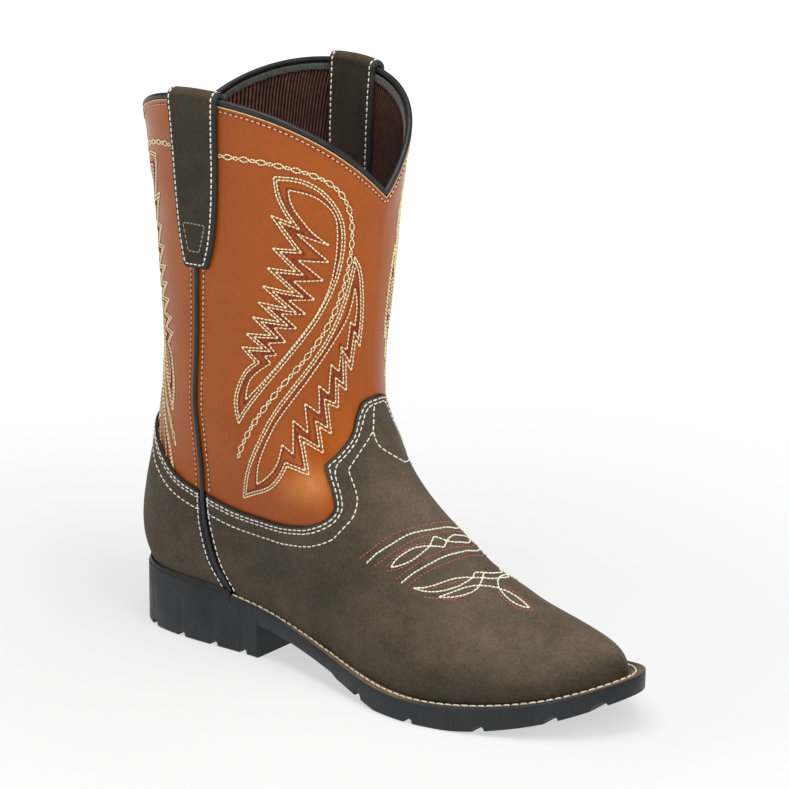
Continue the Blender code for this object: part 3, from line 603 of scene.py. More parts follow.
def tube(path, across, radius, closed, sides=12, flatness=1.0):
    """Points and faces of a bead along a path, with rounded ends where it is open. across points
    out of the boot, where the bead may be flat."""
    before, after = np.roll(path, 1, axis=0), np.roll(path, -1, axis=0)
    if not closed:
        before[0], after[-1] = path[0], path[-1]
    run = unit(after - before)
    out = unit(across - (across * run).sum(axis=1)[:, None] * run)
    up = np.cross(run, out)
    turn = np.linspace(0.0, 2.0 * math.pi, sides, endpoint=False)[None, :, None]
    rings = path[:, None] + radius * (flatness * np.cos(turn) * out[:, None] + np.sin(turn) * up[:, None])
    if closed:
        return rings.reshape(-1, 3), quads(len(path) + 1, sides, True) % (len(path) * sides)
    ends = []
    for end, beside in ((0, 1), (-1, -2)):
        lead = unit(path[end] - path[beside]) * radius * TUBE_END_LEAD
        ends.append(rings[end] * TUBE_END_GIRTH + path[end] * (1.0 - TUBE_END_GIRTH) + lead)
    rings = np.concatenate([ends[:1], rings, ends[1:]])
    return rings.reshape(-1, 3), capped(len(rings), sides)


def add_mesh(name, points, faces, materials, use=None, sharp=None, merge=False):
    """A smooth mesh object from points in millimetres; sharp marks edges over that many degrees."""
    mesh = bpy.data.meshes.new(name)
    coords = np.asarray(points, float).reshape(-1, 3) * MM + ORIGIN
    mesh.from_pydata(coords.tolist(), [], faces.tolist() if isinstance(faces, np.ndarray) else faces)
    for material in materials:
        mesh.materials.append(material)
    if use is not None:
        mesh.polygons.foreach_set("material_index", np.asarray(use, np.int32))
    work = bmesh.new()
    work.from_mesh(mesh)
    if merge:
        bmesh.ops.remove_doubles(work, verts=work.verts, dist=MERGE_DISTANCE)
    bmesh.ops.recalc_face_normals(work, faces=work.faces)
    work.to_mesh(mesh)
    work.free()
    mesh.polygons.foreach_set("use_smooth", np.ones(len(mesh.polygons), bool))
    if sharp is not None:
        mesh.set_sharp_from_angle(angle=math.radians(sharp))
    mesh.update()
    obj = bpy.data.objects.new(name, mesh)
    bpy.context.scene.collection.objects.link(obj)
    return obj


def set_values(obj, name, values):
    """A named value at each point of a mesh, for its material to read."""
    attribute = obj.data.attributes.new(name, "FLOAT", "POINT")
    attribute.data.foreach_set("value", values.astype(np.float32))


def finish_piece(obj, slot, *nodes):
    """Ties a piece to the boot and hides the CAD nodes that it stands for; slot is not used."""
    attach(obj, "root")
    if nodes:
        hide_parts(*nodes)
    return obj


def rounded(inside, width, left):
    """Share of its thickness that a piece has so far inside its rounded edges."""
    share = np.clip(inside / width, 0.0, 1.0)
    return left + (1.0 - left) * np.sqrt(1.0 - (1.0 - share) ** 2)


def add_leather(node, outer, inner, inside, inked, leather):
    """A leather piece between two grids in place of a CAD node, inked so far inside its edges."""
    points, faces, kinds = shell(outer, inner, False)
    least = np.minimum(np.minimum(inside[:-1, :-1], inside[1:, 1:]),
                       np.minimum(inside[1:, :-1], inside[:-1, 1:]))
    use = (kinds == 2).astype(int)
    use[kinds == 0] = (least.reshape(-1) < inked).astype(int)
    obj = add_mesh(node + "_leather", points, faces, [leather, INK_AND_HOLE_SHADE], use, LEATHER_SHARP)
    finish_piece(obj, "foot_leather", node)


# The upper's fine grid

FRONT_STRETCHES = ((0.0, 0.21, 22), (0.21, 0.43, 20), (0.43, 0.52, 24), (0.52, 1.0, 40))
FRONT_SHARES = np.unique(np.round(np.concatenate([np.linspace(*s) for s in FRONT_STRETCHES]), 5))
BACK_SHARES = np.linspace(0.0, 1.0, 44)
EDGE_DEPTHS = np.array([1.6, 1.0, 0.6, 0.3, 0.12, 0.0])
EDGE_PROBE = 0.01
FOOT_STEPS = 40
LEG_STEPS = 112
EDGE_ROUND = 0.8
EDGE_LEFT = 0.45
COLLAR_FADE = 0.06
FEATHER_FADE = 0.08
CREASE_POINTS = 25
CREASE_FADE = 0.7
WAVE_RISE = 0.16
RIPPLE_RISE = 0.10
WAVE_LENGTHS = (11.0, 17.0, 13.0, 23.0)
RIPPLE_LENGTHS = (7.5, 29.0, 19.0)


def ring_columns():
    """The grid's columns once round: (side, kind, share)."""
    half = [("front", s) for s in FRONT_SHARES[1:]] + [("seam", 0.0)] + [("back", s) for s in BACK_SHARES]
    lateral = [(-1, kind, s) for kind, s in half]
    medial = [(1, kind, s) for kind, s in half[:-1]]
    return [(-1, "front", 0.0)] + lateral + medial[::-1]


def edge_height(kind, share):
    """Height of the vamp's or counter's top edge in a column."""
    if kind != "front":
        return float(monotone(COUNTER_EDGE["share"], COUNTER_EDGE["height"], share))
    shares, heights = VAMP_EDGE["share"], VAMP_EDGE["height"]
    part = shares <= VAMP_CORNER if share <= VAMP_CORNER else shares >= VAMP_CORNER
    return float(monotone(shares[part], heights[part], share))


def column_angle(side, kind, share, v):
    """Angle of a grid column at the heights v; two columns stand clear of the side seam."""
    seam = seam_angle(v, side)
    groove = SEAM_GROOVE / arc_speed(seam, v, side)
    if kind == "front":
        return (seam - groove) * share
    if kind == "seam":
        return seam
    return (seam + groove) + (math.pi - seam - groove) * share


def column_heights(side, kind, share):
    """Heights of a column's rows, closer together under the overlay's edge, and of that edge."""
    edge = edge_height(kind, share)
    near = np.array([edge - EDGE_PROBE, edge])
    angle = column_angle(side, kind, share, near)
    speed = np.linalg.norm(np.diff(last_surface(angle, near, side), axis=0)) / EDGE_PROBE
    rim = edge - EDGE_DEPTHS / speed
    foot = rim[0] * np.linspace(0.0, 1.0, FOOT_STEPS) ** FOOT_ROW_POWER
    leg = edge + (1.0 - edge) * np.linspace(0.0, 1.0, LEG_STEPS + 1)[1:]
    return np.r_[foot, rim[1:], leg], edge


def grid_normals(grid):
    """Outward unit normals of a grid that closes round its columns; level at both open edges."""
    around = np.roll(grid, -1, axis=1)
    across = np.cross(around[1:] - grid[:-1], grid[1:] - around[:-1])
    total = np.zeros_like(grid)
    for part in (total[:-1], total[1:]):
        part += across
        part += np.roll(across, 1, axis=1)
    total[[0, -1], :, 2] = 0.0
    total = unit(total)
    centre = grid.mean(axis=(0, 1))
    return -total if ((grid - centre) * total).sum() < 0.0 else total


def crease_rise(points):
    """How far the creases lift each point: soft troughs and ridges that fade out at their ends."""
    rise = np.zeros(points.shape[:-1])
    t = np.linspace(0.0, 1.0, CREASE_POINTS)
    fade = np.sin(np.linspace(0.0, math.pi, CREASE_POINTS)) ** CREASE_FADE
    for sides, start, end, width, height in CREASES:
        for side in sides:
            share, v = (a + (b - a) * t for a, b in zip(start, end))
            line = last_surface(seam_angle(v, side) * share, v, side)
            away = np.linalg.norm(points[..., None, :] - line, axis=-1)
            rise += height * (np.exp(-(away / width) ** 2) * fade).max(axis=-1)
    return rise


def soft_waves(points):
    """Slow unevenness of hand-lasted leather."""
    x, y, z = points[..., 0], points[..., 1], points[..., 2]
    a, b, c, d = WAVE_LENGTHS
    wave = np.sin(x / a + z / b) * np.sin(y / c - z / d + 1.0)
    a, b, c = RIPPLE_LENGTHS
    return WAVE_RISE * wave + RIPPLE_RISE * np.sin(z / a + x / b + y / c)


class Upper:
    """Fine grid of the last with its creases, and the layers that are taken from it."""

    def __init__(self):
        self.columns = ring_columns()
        strips, sinks, heights = [], [], []
        for side, kind, share in self.columns:
            v, edge = column_heights(side, kind, share)
            strips.append(last_surface(column_angle(side, kind, share, v), v, side))
            below = np.clip(v / edge, 0.0, 1.0) ** (1.0 / FOOT_ROW_POWER)
            sinks.append(np.clip((1.0 - below) / SEAT_SHARE, 0.0, 1.0) * OVERLAY_SEAT)
            heights.append(v)
        smooth, sink, self.v = (np.stack(parts, axis=1) for parts in (strips, sinks, heights))
        creased = crease_rise(smooth)
        # Crease ridges, where the shaft's material paints a highlight
        self.bend = np.clip(creased, 0.0, 1.0)
        collar_fade = np.clip((1.0 - self.v) / COLLAR_FADE, 0.0, 1.0)
        feather_fade = np.clip(self.v / FEATHER_FADE, 0.0, 1.0)
        rise = (creased + soft_waves(smooth)) * collar_fade * feather_fade
        base = smooth + grid_normals(smooth) * rise[..., None]
        self.normals = grid_normals(base)
        self.outer = base - self.normals * sink[..., None]
        self.inner = self.outer - self.normals * WALL
        self.foot_rows = FOOT_STEPS + len(EDGE_DEPTHS) - 1

    def pick(self, kind):
        """Column numbers of the vamp ("front") or the counter ("back"), in order across the piece."""
        chosen = [j for j, entry in enumerate(self.columns) if entry[1] == kind]
        if kind == "back":
            return chosen
        split = max(i for i, j in enumerate(chosen) if self.columns[j][0] == -1)
        return chosen[split + 1:] + chosen[: split + 1]

    def overlay(self, kind):
        """Outer and inner grid of the vamp or the counter and how far inside its edges each point
        lies; it is thinner at its rounded edges."""
        use = self.pick(kind)
        base, out = self.outer[: self.foot_rows, use], self.normals[: self.foot_rows, use]
        depth = np.r_[np.full(FOOT_STEPS, EDGE_DEPTHS[0]), EDGE_DEPTHS[1:]]
        along = lengths(base[self.foot_rows // 2])
        inside = np.minimum(depth[:, None], np.minimum(along, along[-1] - along)[None, :])
        thick = OVERLAY_THICKNESS * rounded(inside, EDGE_ROUND, EDGE_LEFT)
        return base + out * (GAP + thick)[..., None], base + out * GAP, inside


# Stitching

STITCH_RINGS = np.array([0.0, 0.2, 0.8, 1.0])
STITCH_GIRTH = np.array([0.40, 1.0, 1.0, 0.40])
STITCH_LIFT = np.array([-0.45, 0.35, 0.35, -0.45])
STITCH_SIDES = 5
STITCH_UNEVEN = 0.05
STITCH_SHIFT = 0.12
MITRE_LIMIT = 5.0
PATH_SPACING = 0.8
PATH_LEAST = 8


class Surface:
    """The outside of a piece, for setting stitches on."""

    def __init__(self, grid, closed, out):
        rows, columns = grid.shape[:2]
        along = grid[:-1, 1:] - grid[:-1, :-1]
        upward = grid[1:, :-1] - grid[:-1, :-1]
        flip = (np.cross(along, upward) * out[:-1, :-1]).sum() < 0.0
        self.tree = BVHTree.FromPolygons(
            grid.reshape(-1, 3).tolist(), quads(rows, columns, closed, 0, flip).tolist())

    def settle(self, points):
        """Nearest points of the piece, and the way that it faces there."""
        found = [self.tree.find_nearest(Vector(p)) for p in points.reshape(-1, 3)]
        return (np.array([f[i] for f in found]).reshape(points.shape) for i in (0, 1))


class Thread:
    """Stitches of one colour, gathered into one mesh."""

    def __init__(self, name, material):
        self.name, self.material = name, material
        self.points, self.faces, self.count = [], [], 0

    def sew(self, surface, path, pitch, radius, fill, lift=0.0, phase=0.5):
        """Sews a path with stitches that fill that share of each pitch."""
        s = lengths(path)
        count = max(1, int(round(s[-1] / pitch)))
        step = s[-1] / count
        length = step * fill * (1.0 + STITCH_UNEVEN * RANDOM.standard_normal(count))
        middle = (np.arange(count) + phase) * step
        at = middle[:, None] + length[:, None] * (STITCH_RINGS - 0.5)
        place, normal = surface.settle(read_at(s, path, at))
        run = unit(place[:, -1] - place[:, 0])[:, None]
        normal = unit(normal - (normal * run).sum(axis=-1)[..., None] * run)
        across = np.cross(normal, run)
        shift = STITCH_SHIFT * radius * RANDOM.standard_normal(count)
        place = place + across * shift[:, None, None]
        place = place + normal * (STITCH_LIFT * radius + lift)[None, :, None]
        turn = np.linspace(0.0, 2.0 * math.pi, STITCH_SIDES, endpoint=False)[:, None]
        girth = (STITCH_GIRTH * radius)[None, :, None, None]
        rings = place[:, :, None] + girth * (np.cos(turn) * across[:, :, None]
                                             + np.sin(turn) * normal[:, :, None])
        stitch = capped(len(STITCH_RINGS), STITCH_SIDES)
        for start in range(self.count, self.count + rings.size // 3, len(STITCH_RINGS) * STITCH_SIDES):
            self.faces.extend([[start + corner for corner in face] for face in stitch])
        self.points.append(rings.reshape(-1, 3))
        self.count += rings.size // 3

    def finish(self, slot):
        """Makes the mesh of all that was sewn."""
        finish_piece(add_mesh(self.name, np.vstack(self.points), self.faces, [self.material]), slot)


def smooth_path(points, spacing=PATH_SPACING):
    """Dense points of a smooth curve through a few."""
    points = np.asarray(points, float)
    if len(points) < 3:
        count = max(2, int(np.linalg.norm(points[-1] - points[0]) / spacing) + 1)
        return points[0] + (points[-1] - points[0]) * np.linspace(0.0, 1.0, count)[:, None]
    s = lengths(points, 0.5)
    at = np.linspace(0.0, s[-1], max(PATH_LEAST, int(lengths(points)[-1] / spacing)))
    return curve_at(s, points, at)


def offset_loop(points, distance):
    """A flat closed path moved sideways by a distance, with mitred corners."""
    come, go = unit(points - np.roll(points, 1, axis=0)), unit(np.roll(points, -1, axis=0) - points)
    normals = [np.c_[-way[:, 1], way[:, 0]] for way in (come, go)]
    middle = unit(normals[0] + normals[1])
    cosine = np.maximum((middle * normals[0]).sum(axis=1), 1.0 / MITRE_LIMIT)
    return points + middle * (distance / cosine)[:, None]


def between(lines, row, reach):
    """Point at a reach along lines of a chart, at a row that may lie between two of them."""
    row = np.clip(row, 0.0, len(lines) - 1.001)
    i = int(row)
    low, high = (read_at(lengths_of, line, reach) for lengths_of, line in lines[i: i + 2])
    return low + (high - low) * (row - i)


PANEL_LOW_V = 0.22
PANEL_LOW_Z = 62
PANEL_HIGH_Z = 238
PANEL_ROWS = 240
PANEL_COLUMNS = 110
PANEL_RISE = 1e-6
PATTERN_TOP = 213.5
BACK_HEIGHT_SCALE = 1.03
BACK_REACH_SCALE = 0.80


class Panel:
    """A half panel of the shaft, charted by the distance from the side seam and the height: a line
    for each millimetre of height. The back's pattern is the front's, narrower and a little taller."""

    def __init__(self, side, back):
        self.height_scale = BACK_HEIGHT_SCALE if back else 1.0
        self.reach_scale = BACK_REACH_SCALE if back else 1.0
        v = np.linspace(PANEL_LOW_V, 1.0, PANEL_ROWS)
        # Both sides start at the lateral seam's angle, so that their patterns are the same
        start = seam_angle(v, -1)
        turn = (math.pi if back else 0.0) - start
        angle = start[:, None] + turn[:, None] * np.linspace(0.0, 1.0, PANEL_COLUMNS)
        points = last_surface(angle, v[:, None], side)
        heights = np.arange(PANEL_LOW_Z, PANEL_HIGH_Z + 1.0)
        level = []
        for line in points.transpose(1, 0, 2):
            z = np.maximum.accumulate(line[:, 2] + np.arange(PANEL_ROWS) * PANEL_RISE)
            level.append(read_at(z, line, heights))
        self.lines = [(lengths(line), line) for line in np.stack(level, axis=1)]

    def place(self, flat):
        """Points in space for flat pattern points."""
        heights = PATTERN_TOP - (PATTERN_TOP - flat[:, 1]) * self.height_scale
        reaches = flat[:, 0] * self.reach_scale
        return np.array([between(self.lines, z - PANEL_LOW_Z, reach) for z, reach in zip(heights, reaches)])


CHART_LOW_X = 118
CHART_HIGH_X = 234
CHART_LOW_V = 0.03
CHART_POINTS = 90


class VampChart:
    """The vamp, charted by the length along the foot and the distance out from its ridge: a line
    for each millimetre of length."""

    def __init__(self):
        fall = np.linspace(0.0, 1.0, CHART_POINTS) ** 2
        self.lines = {-1: [], 1: []}
        for side, lines in self.lines.items():
            for x in np.arange(CHART_LOW_X, CHART_HIGH_X + 1.0):
                top = float(np.interp(x, RIDGE_X, RIDGE_V))
                v = top + (CHART_LOW_V - top) * fall
                front, back = section("front_x", v), section("back_x", v)
                angle = np.arccos(np.clip(2.0 * (x - back) / (front - back) - 1.0, -1.0, 1.0))
                angle[0] = 0.0
                line = last_surface(angle, v, side)
                lines.append((lengths(line), line))

    def place(self, flat):
        """Points in space for flat pattern points, lateral where they lie out from the ridge."""
        return np.array([between(self.lines[-1 if out >= 0.0 else 1], x - CHART_LOW_X, abs(out))
                         for x, out in flat])


# Materials

ALONG_SCALE = 4.0
ALONG_MIDDLE = 0.5


class Shader:
    """A material whose colour, roughness and relief come from procedural textures."""

    def __init__(self, name, roughness, specular=0.5):
        self.material = bpy.data.materials.new(name)
        self.material.use_nodes = True
        self.nodes = self.material.node_tree.nodes
        self.links = self.material.node_tree.links
        self.shader = self.nodes["Principled BSDF"]
        self.set(roughness=roughness, specular_ior_level=specular)
        self.coords = self.node("TexCoord").outputs["Object"]
        self.normal = None

    def set(self, **values):
        """Plain values of the main shader."""
        for name, value in values.items():
            label = name.replace("_", " ").title().replace("Ior", "IOR")
            self.shader.inputs[label].default_value = value
        return self

    def feed(self, socket, value):
        """Links an input to an output, or gives it a number, a vector or a colour."""
        if isinstance(value, bpy.types.NodeSocket):
            self.links.new(value, socket)
        else:
            socket.default_value = (*value, 1.0) if socket.type == "RGBA" else value

    def node(self, kind, settings=(), **inputs):
        """A new node with its settings, as pairs, and its inputs by their labels."""
        node = self.nodes.new("ShaderNode" + kind)
        for name, value in settings:
            setattr(node, name, value)
        for label, value in inputs.items():
            self.feed(node.inputs[label], value)
        return node

    def attribute(self, name):
        """Value that the mesh carries at its points."""
        return self.node("Attribute", [("attribute_name", name)]).outputs["Fac"]

    def stretched(self, scale):
        """Coordinates with a scale for each axis."""
        return self.node("Mapping", Scale=scale, Vector=self.coords).outputs["Vector"]

    def noise(self, scale, detail=3.0, roughness=0.55, coords=None):
        """Cloudy noise; the scale counts its patches in a metre."""
        return self.node("TexNoise", Scale=scale, Detail=detail, Roughness=roughness,
                         Vector=coords or self.coords).outputs["Fac"]

    def cells(self, scale, feature="F1"):
        """Distances in a field of cells."""
        node = self.node("TexVoronoi", [("feature", feature)], Scale=scale, Vector=self.coords)
        return node.outputs["Distance"]

    def ramp(self, value, *stops):
        """Colours or greys along a value: (place, colour) pairs."""
        node = self.node("ValToRGB", Fac=value)
        band = node.color_ramp
        while len(band.elements) < len(stops):
            band.elements.new(0.5)
        for element, (place, colour) in zip(band.elements, stops):
            element.position = place
            element.color = (*colour, 1.0) if isinstance(colour, tuple) else (colour,) * 3 + (1.0,)
        return node.outputs["Color"]

    def mottle(self, scale, low, high, detail=3.0, roughness=0.55, between=(0.3, 0.7)):
        """Patches that run from one colour or grey to another."""
        return self.ramp(self.noise(scale, detail, roughness), (between[0], low), (between[1], high))

    def along_x(self):
        """Length along the boot, 0 at the heel's end of the frame's axis and 1 at the toe's."""
        x = self.node("SeparateXYZ", Vector=self.coords).outputs["X"]
        return self.math("ADD", self.math("MULTIPLY", x, ALONG_SCALE), ALONG_MIDDLE)

    def facing_up(self):
        """How far the surface faces up, from -1 to 1."""
        normal = self.node("NewGeometry").outputs["Normal"]
        return self.node("SeparateXYZ", Vector=normal).outputs["Z"]

    def math(self, operation, a, b):
        """Two values put together."""
        node = self.node("Math", [("operation", operation)])
        for socket, value in zip(node.inputs, (a, b)):
            self.feed(socket, value)
        return node.outputs["Value"]

    def mix(self, amount, a, b, blend="MIX"):
        """Two colours put together."""
        node = self.node("Mix", [("data_type", "RGBA"), ("blend_type", blend)], Factor=amount)
        for socket, value in zip(node.inputs[6:8], (a, b)):
            self.feed(socket, value)
        return node.outputs[2]

    def times(self, *colours):
        """Colours multiplied in their order."""
        product = colours[0]
        for colour in colours[1:]:
            product = self.mix(1.0, product, colour, "MULTIPLY")
        return product

    def colour(self, socket):
        """Sets the base colour."""
        self.links.new(socket, self.shader.inputs["Base Color"])

    def rough(self, socket):
        """Sets the roughness."""
        self.links.new(socket, self.shader.inputs["Roughness"])

    def bump(self, height, strength, depth_mm):
        """Adds a relief to those before it."""
        node = self.node("Bump", Strength=strength, Distance=depth_mm * MM, Height=height)
        if self.normal is not None:
            self.links.new(self.normal, node.inputs["Normal"])
        self.normal = node.outputs["Normal"]
        self.links.new(self.normal, self.shader.inputs["Normal"])


def shaft_leather():
    """Smooth orange-tan leather with a soft polish and fine pores, a painted highlight on its crease ridges
    and painted shade along its stitch rows.
    """
    s = Shader("shaft_leather", 0.34, 0.20)
    s.set(coat_weight=0.06, coat_roughness=0.18)
    slow = s.mottle(22.0, (0.33, 0.069, 0.005), (0.385, 0.090, 0.009), between=(0.30, 0.72))
    fine = s.mottle(420.0, 0.90, 1.0, 4.0, between=(0.35, 0.65))
    # Painted shade: the leather is darkened along the stitch rows, where the sewn value is high
    dent_and_shade = s.ramp(s.attribute("sewn"), (0.2, 1.0), (1.0, (0.84, 0.74, 0.66)))
    # Painted highlight: where the bend value marks a crease ridge, the colour is mixed towards pale orange
    painted_highlight = s.ramp(s.attribute("bend"), (0.10, 0.0), (0.95, 0.80))
    s.colour(s.times(s.mix(painted_highlight, slow, (0.60, 0.21, 0.055)), fine, dent_and_shade))
    s.rough(s.mottle(60.0, 0.28, 0.42))
    s.bump(s.noise(700.0, 4.0), 0.12, 0.10)
    s.bump(s.cells(1500.0), 0.10, 0.06)
    return s.material


def foot_leather(name, low, high):
    """Dark brown oiled nubuck: mottled, with a short nap, and painted light and shade: paler where it faces
    up, darker where it faces sideways, darker still on the toe's sides.
    """
    s = Shader(name, 0.72, 0.22)
    s.set(sheen_weight=0.08, sheen_roughness=0.45, sheen_tint=(0.75, 0.66, 0.55, 1.0))
    slow = s.mottle(30.0, low, high, 4.0, 0.6, (0.30, 0.74))
    mid = s.mottle(140.0, 0.83, 1.10, 5.0, 0.65)
    fine = s.mottle(900.0, 0.64, 1.28, 4.0, 0.75, (0.32, 0.68))
    # Painted light and shade by the way the surface faces: up-facing leather paler, side-facing darker,
    # darker still at the toe
    facing = s.facing_up()
    at_toe = s.ramp(s.along_x(), (0.58, 0.0), (0.72, 1.0))
    foot_light_and_shade = s.ramp(facing, (0.25, 0.66), (0.90, 1.05))
    toe_light_and_shade = s.ramp(facing, (0.35, 0.46), (0.85, 1.05))
    s.colour(s.times(slow, mid, fine, s.mix(at_toe, foot_light_and_shade, toe_light_and_shade)))
    s.rough(s.mottle(90.0, 0.62, 0.82))
    s.bump(s.noise(1.0, 5.0, 0.7, s.stretched((230.0, 75.0, 75.0))), 0.35, 0.6)
    s.bump(s.noise(240.0, 5.0, 0.65), 0.18, 0.45)
    s.bump(s.cells(760.0, "DISTANCE_TO_EDGE"), 0.22, 0.16)
    s.bump(s.noise(1600.0, 2.0), 0.30, 0.10)
    return s.material


def sole_rubber():
    """Blue-black moulded rubber with faint buffing marks and dusty scuffs."""
    s = Shader("sole_rubber", 0.48, 0.3)
    buff = s.noise(1.0, 4.0, 0.6, s.stretched((900.0, 900.0, 60.0)))
    base = s.mottle(45.0, (0.013, 0.015, 0.017), (0.023, 0.026, 0.028), 4.0, between=(0.3, 0.75))
    s.colour(s.times(base, s.ramp(buff, (0.3, 0.85), (0.7, 1.15))))
    s.rough(s.mottle(120.0, 0.40, 0.58, 4.0))
    s.bump(buff, 0.10, 0.10)
    s.bump(s.noise(1400.0, 2.0), 0.10, 0.06)
    return s.material


def welt_leather():
    """Tan leather strip at the waist and the toe tip, inked black along the forepart."""
    s = Shader("welt_leather", 0.6)
    tan = s.mottle(110.0, (0.10, 0.054, 0.027), (0.23, 0.138, 0.07), 5.0, 0.6, (0.28, 0.72))
    ink = s.ramp(s.along_x(), (0.36, 1.0), (0.44, 0.0), (0.64, 0.15), (0.72, 1.0), (0.92, 1.0), (0.97, 0.2))
    s.colour(s.mix(ink, tan, (0.020, 0.019, 0.018)))
    s.bump(s.noise(600.0, 4.0), 0.25, 0.15)
    return s.material


def ribbed_lining():
    """Brown corded lining with painted shade in the troughs between its ribs; the mesh carries the distance
    round the leg for its ribs.
    """
    s = Shader("ribbed_lining", 0.85, 0.2)
    s.set(sheen_weight=0.08, sheen_roughness=0.5, sheen_tint=(0.5, 0.35, 0.28, 1.0))
    turn = s.math("MULTIPLY", s.attribute("rib"), 2.0 * math.pi / RIB_PITCH)
    rib = s.math("ADD", s.math("MULTIPLY", s.math("SINE", turn, 0.0), 0.5), 0.5)
    slub = s.mottle(320.0, 0.55, 1.40, 5.0, 0.7, (0.32, 0.68))
    # Painted shade: the colour is near black in the troughs between ribs and brown on the ribs
    s.colour(s.times(s.ramp(rib, (0.25, (0.004, 0.002, 0.0015)), (0.9, (0.150, 0.056, 0.038))), slub))
    s.bump(rib, 0.9, 0.45)
    s.bump(s.noise(1500.0, 3.0), 0.3, 0.1)
    return s.material


def plain(name, shine, low, high, grain, relief, **settings):
    """A material of one mottled colour with a fine relief. shine is its roughness and specular
    level, grain the scale and detail of its colour, relief the scale, detail, strength and depth
    of its bumps."""
    s = Shader(name, *shine).set(**settings)
    s.colour(s.mottle(grain[0], low, high, grain[1]))
    s.bump(s.noise(*relief[:2]), *relief[2:])
    return s.material


def black_leather(name, roughness):
    """Black trim and inked edges, and the painted shade of the stitch holes."""
    return plain(name, (roughness, 0.3), (0.012, 0.012, 0.012), (0.026, 0.026, 0.026),
                 (160.0, 3.0), (900.0, 3.0, 0.18, 0.08))


def thread(name, low, high):
    """Waxed sewing thread."""
    return plain(name, (0.5, 0.35), low, high, (900.0, 2.0), (2600.0, 2.0, 0.4, 0.08))


RIB_PITCH = 1.35
SHAFT = shaft_leather()
FOOT = foot_leather("foot_leather", (0.072, 0.054, 0.036), (0.142, 0.104, 0.067))
STRAP = foot_leather("strap_leather", (0.045, 0.032, 0.019), (0.078, 0.056, 0.034))
BLACK = black_leather("black_trim", 0.38)
# Ink for the leather's edges, also used for the painted shade in the stitch holes
INK_AND_HOLE_SHADE = black_leather("inked_edge_and_hole_shade", 0.6)
RUBBER = sole_rubber()
WELT = welt_leather()
LINING = ribbed_lining()
GROOVE = plain("welt_groove", (0.7, 0.3), (0.030, 0.020, 0.013), (0.075, 0.050, 0.032),
               (240.0, 4.0), (900.0, 3.0, 0.3, 0.12))
TAPE = plain("collar_tape", (0.95, 0.15), (0.022, 0.025, 0.019), (0.066, 0.071, 0.057),
             (700.0, 4.0), (1100.0, 4.0, 0.6, 0.3), sheen_weight=0.3, sheen_roughness=0.6)
SOCK = plain("insole_sock", (0.9, 0.2), (0.13, 0.085, 0.055), (0.22, 0.15, 0.10),
             (300.0, 5.0), (1200.0, 3.0, 0.4, 0.15))
CREAM = thread("cream_thread", (0.76, 0.64, 0.36), (0.96, 0.87, 0.58))
WHITE = thread("white_thread", (0.72, 0.68, 0.58), (0.94, 0.91, 0.82))
RED = thread("red_thread", (0.20, 0.016, 0.006), (0.33, 0.036, 0.014))
ROSE = thread("rose_thread", (0.74, 0.38, 0.23), (0.94, 0.60, 0.42))
PINK = thread("pink_thread", (0.34, 0.075, 0.058), (0.47, 0.135, 0.105))
DARK = thread("dark_thread", (0.24, 0.205, 0.155), (0.42, 0.37, 0.30))
ROPE = thread("welt_thread", (0.52, 0.45, 0.32), (0.76, 0.70, 0.55))
PALE = thread("pale_edge", (0.58, 0.34, 0.16), (0.78, 0.54, 0.31))
TOE = thread("toe_thread", (0.78, 0.72, 0.54), (0.96, 0.92, 0.75))


# Stitch sizes: pitch along the row, thread radius and how much of the pitch a stitch fills
CREAM_STITCH = (1.7, 0.32, 0.87)
RED_STITCH = (1.7, 0.31, 0.80)
CHAIN_STITCH = (1.25, 0.30, 0.95)
ROSE_STITCH = (2.4, 0.28, 0.72)
# Short dark stitches in the gaps of the rose rows: painted shade of the needle holes
HOLE_SHADE_STITCH = (2.4, 0.24, 0.34)
TOE_CREAM_STITCH = (1.6, 0.36, 0.97)
TOE_RED_STITCH = (1.6, 0.28, 0.74)
SEAM_STITCH = (2.7, 0.30, 0.80)
STRAP_STITCH = (2.5, 0.30, 0.80)
BOX_STITCH = (2.2, 0.26, 0.80)
WELT_STITCH = (3.5, 0.45, 0.93)

# Steps between the rows of a feather, and the chain's long and short link: length and half width
ROW_STEP = 1.2
RED_STEP = 0.8
LONG_LINK = (4.6, 1.05)
SHORT_LINK = (2.7, 0.65)
OUTLINE_SPACING = 2.4
FINE_SPACING = 0.25
SHORTEST_ROW = 1.0
AXIS_REACH = 0.5

# Rows of the foot and the shaft, in millimetres from an edge or a seam
EDGE_ROWS = (1.7, 3.2, 8.6)
FLANK = 3.3
ROSE_FLANK = {"front": 3.1, "back": 4.3}
COLLAR_ROW = 1.9

# How far rows stay clear of the sole and the overlays' edges, and where they end under the strap,
# as heights
ROW_FOOT = 0.01
ROW_CLEAR = 0.006
ROW_TOP = 0.80
ROW_POINTS = 60


def outline(spine, crown, teeth, tail):
    """Stretches of one closed outline in order round it; the teeth are straight from corner to corner."""
    corners = [crown[-1], *teeth]
    zigzag = [np.array(pair) for pair in zip(corners[:-1], corners[1:])]
    curves = [smooth_path(line, OUTLINE_SPACING) for line in (crown, tail, spine[::-1])]
    return curves[:1] + zigzag + curves[1:]


def shifted(stretches, distance):
    """An outline moved in (or out, when negative) and cut again at its corners."""
    loop = np.vstack([part[:-1] for part in stretches])
    x, y = loop[:, 0], loop[:, 1]
    turn = np.sign((x * np.roll(y, -1) - y * np.roll(x, -1)).sum())
    moved = offset_loop(loop, turn * distance)
    starts = np.cumsum([0] + [len(part) - 1 for part in stretches])
    moved = np.vstack([moved, moved[:1]])
    return [moved[a: b + 1] for a, b in zip(starts[:-1], starts[1:])]


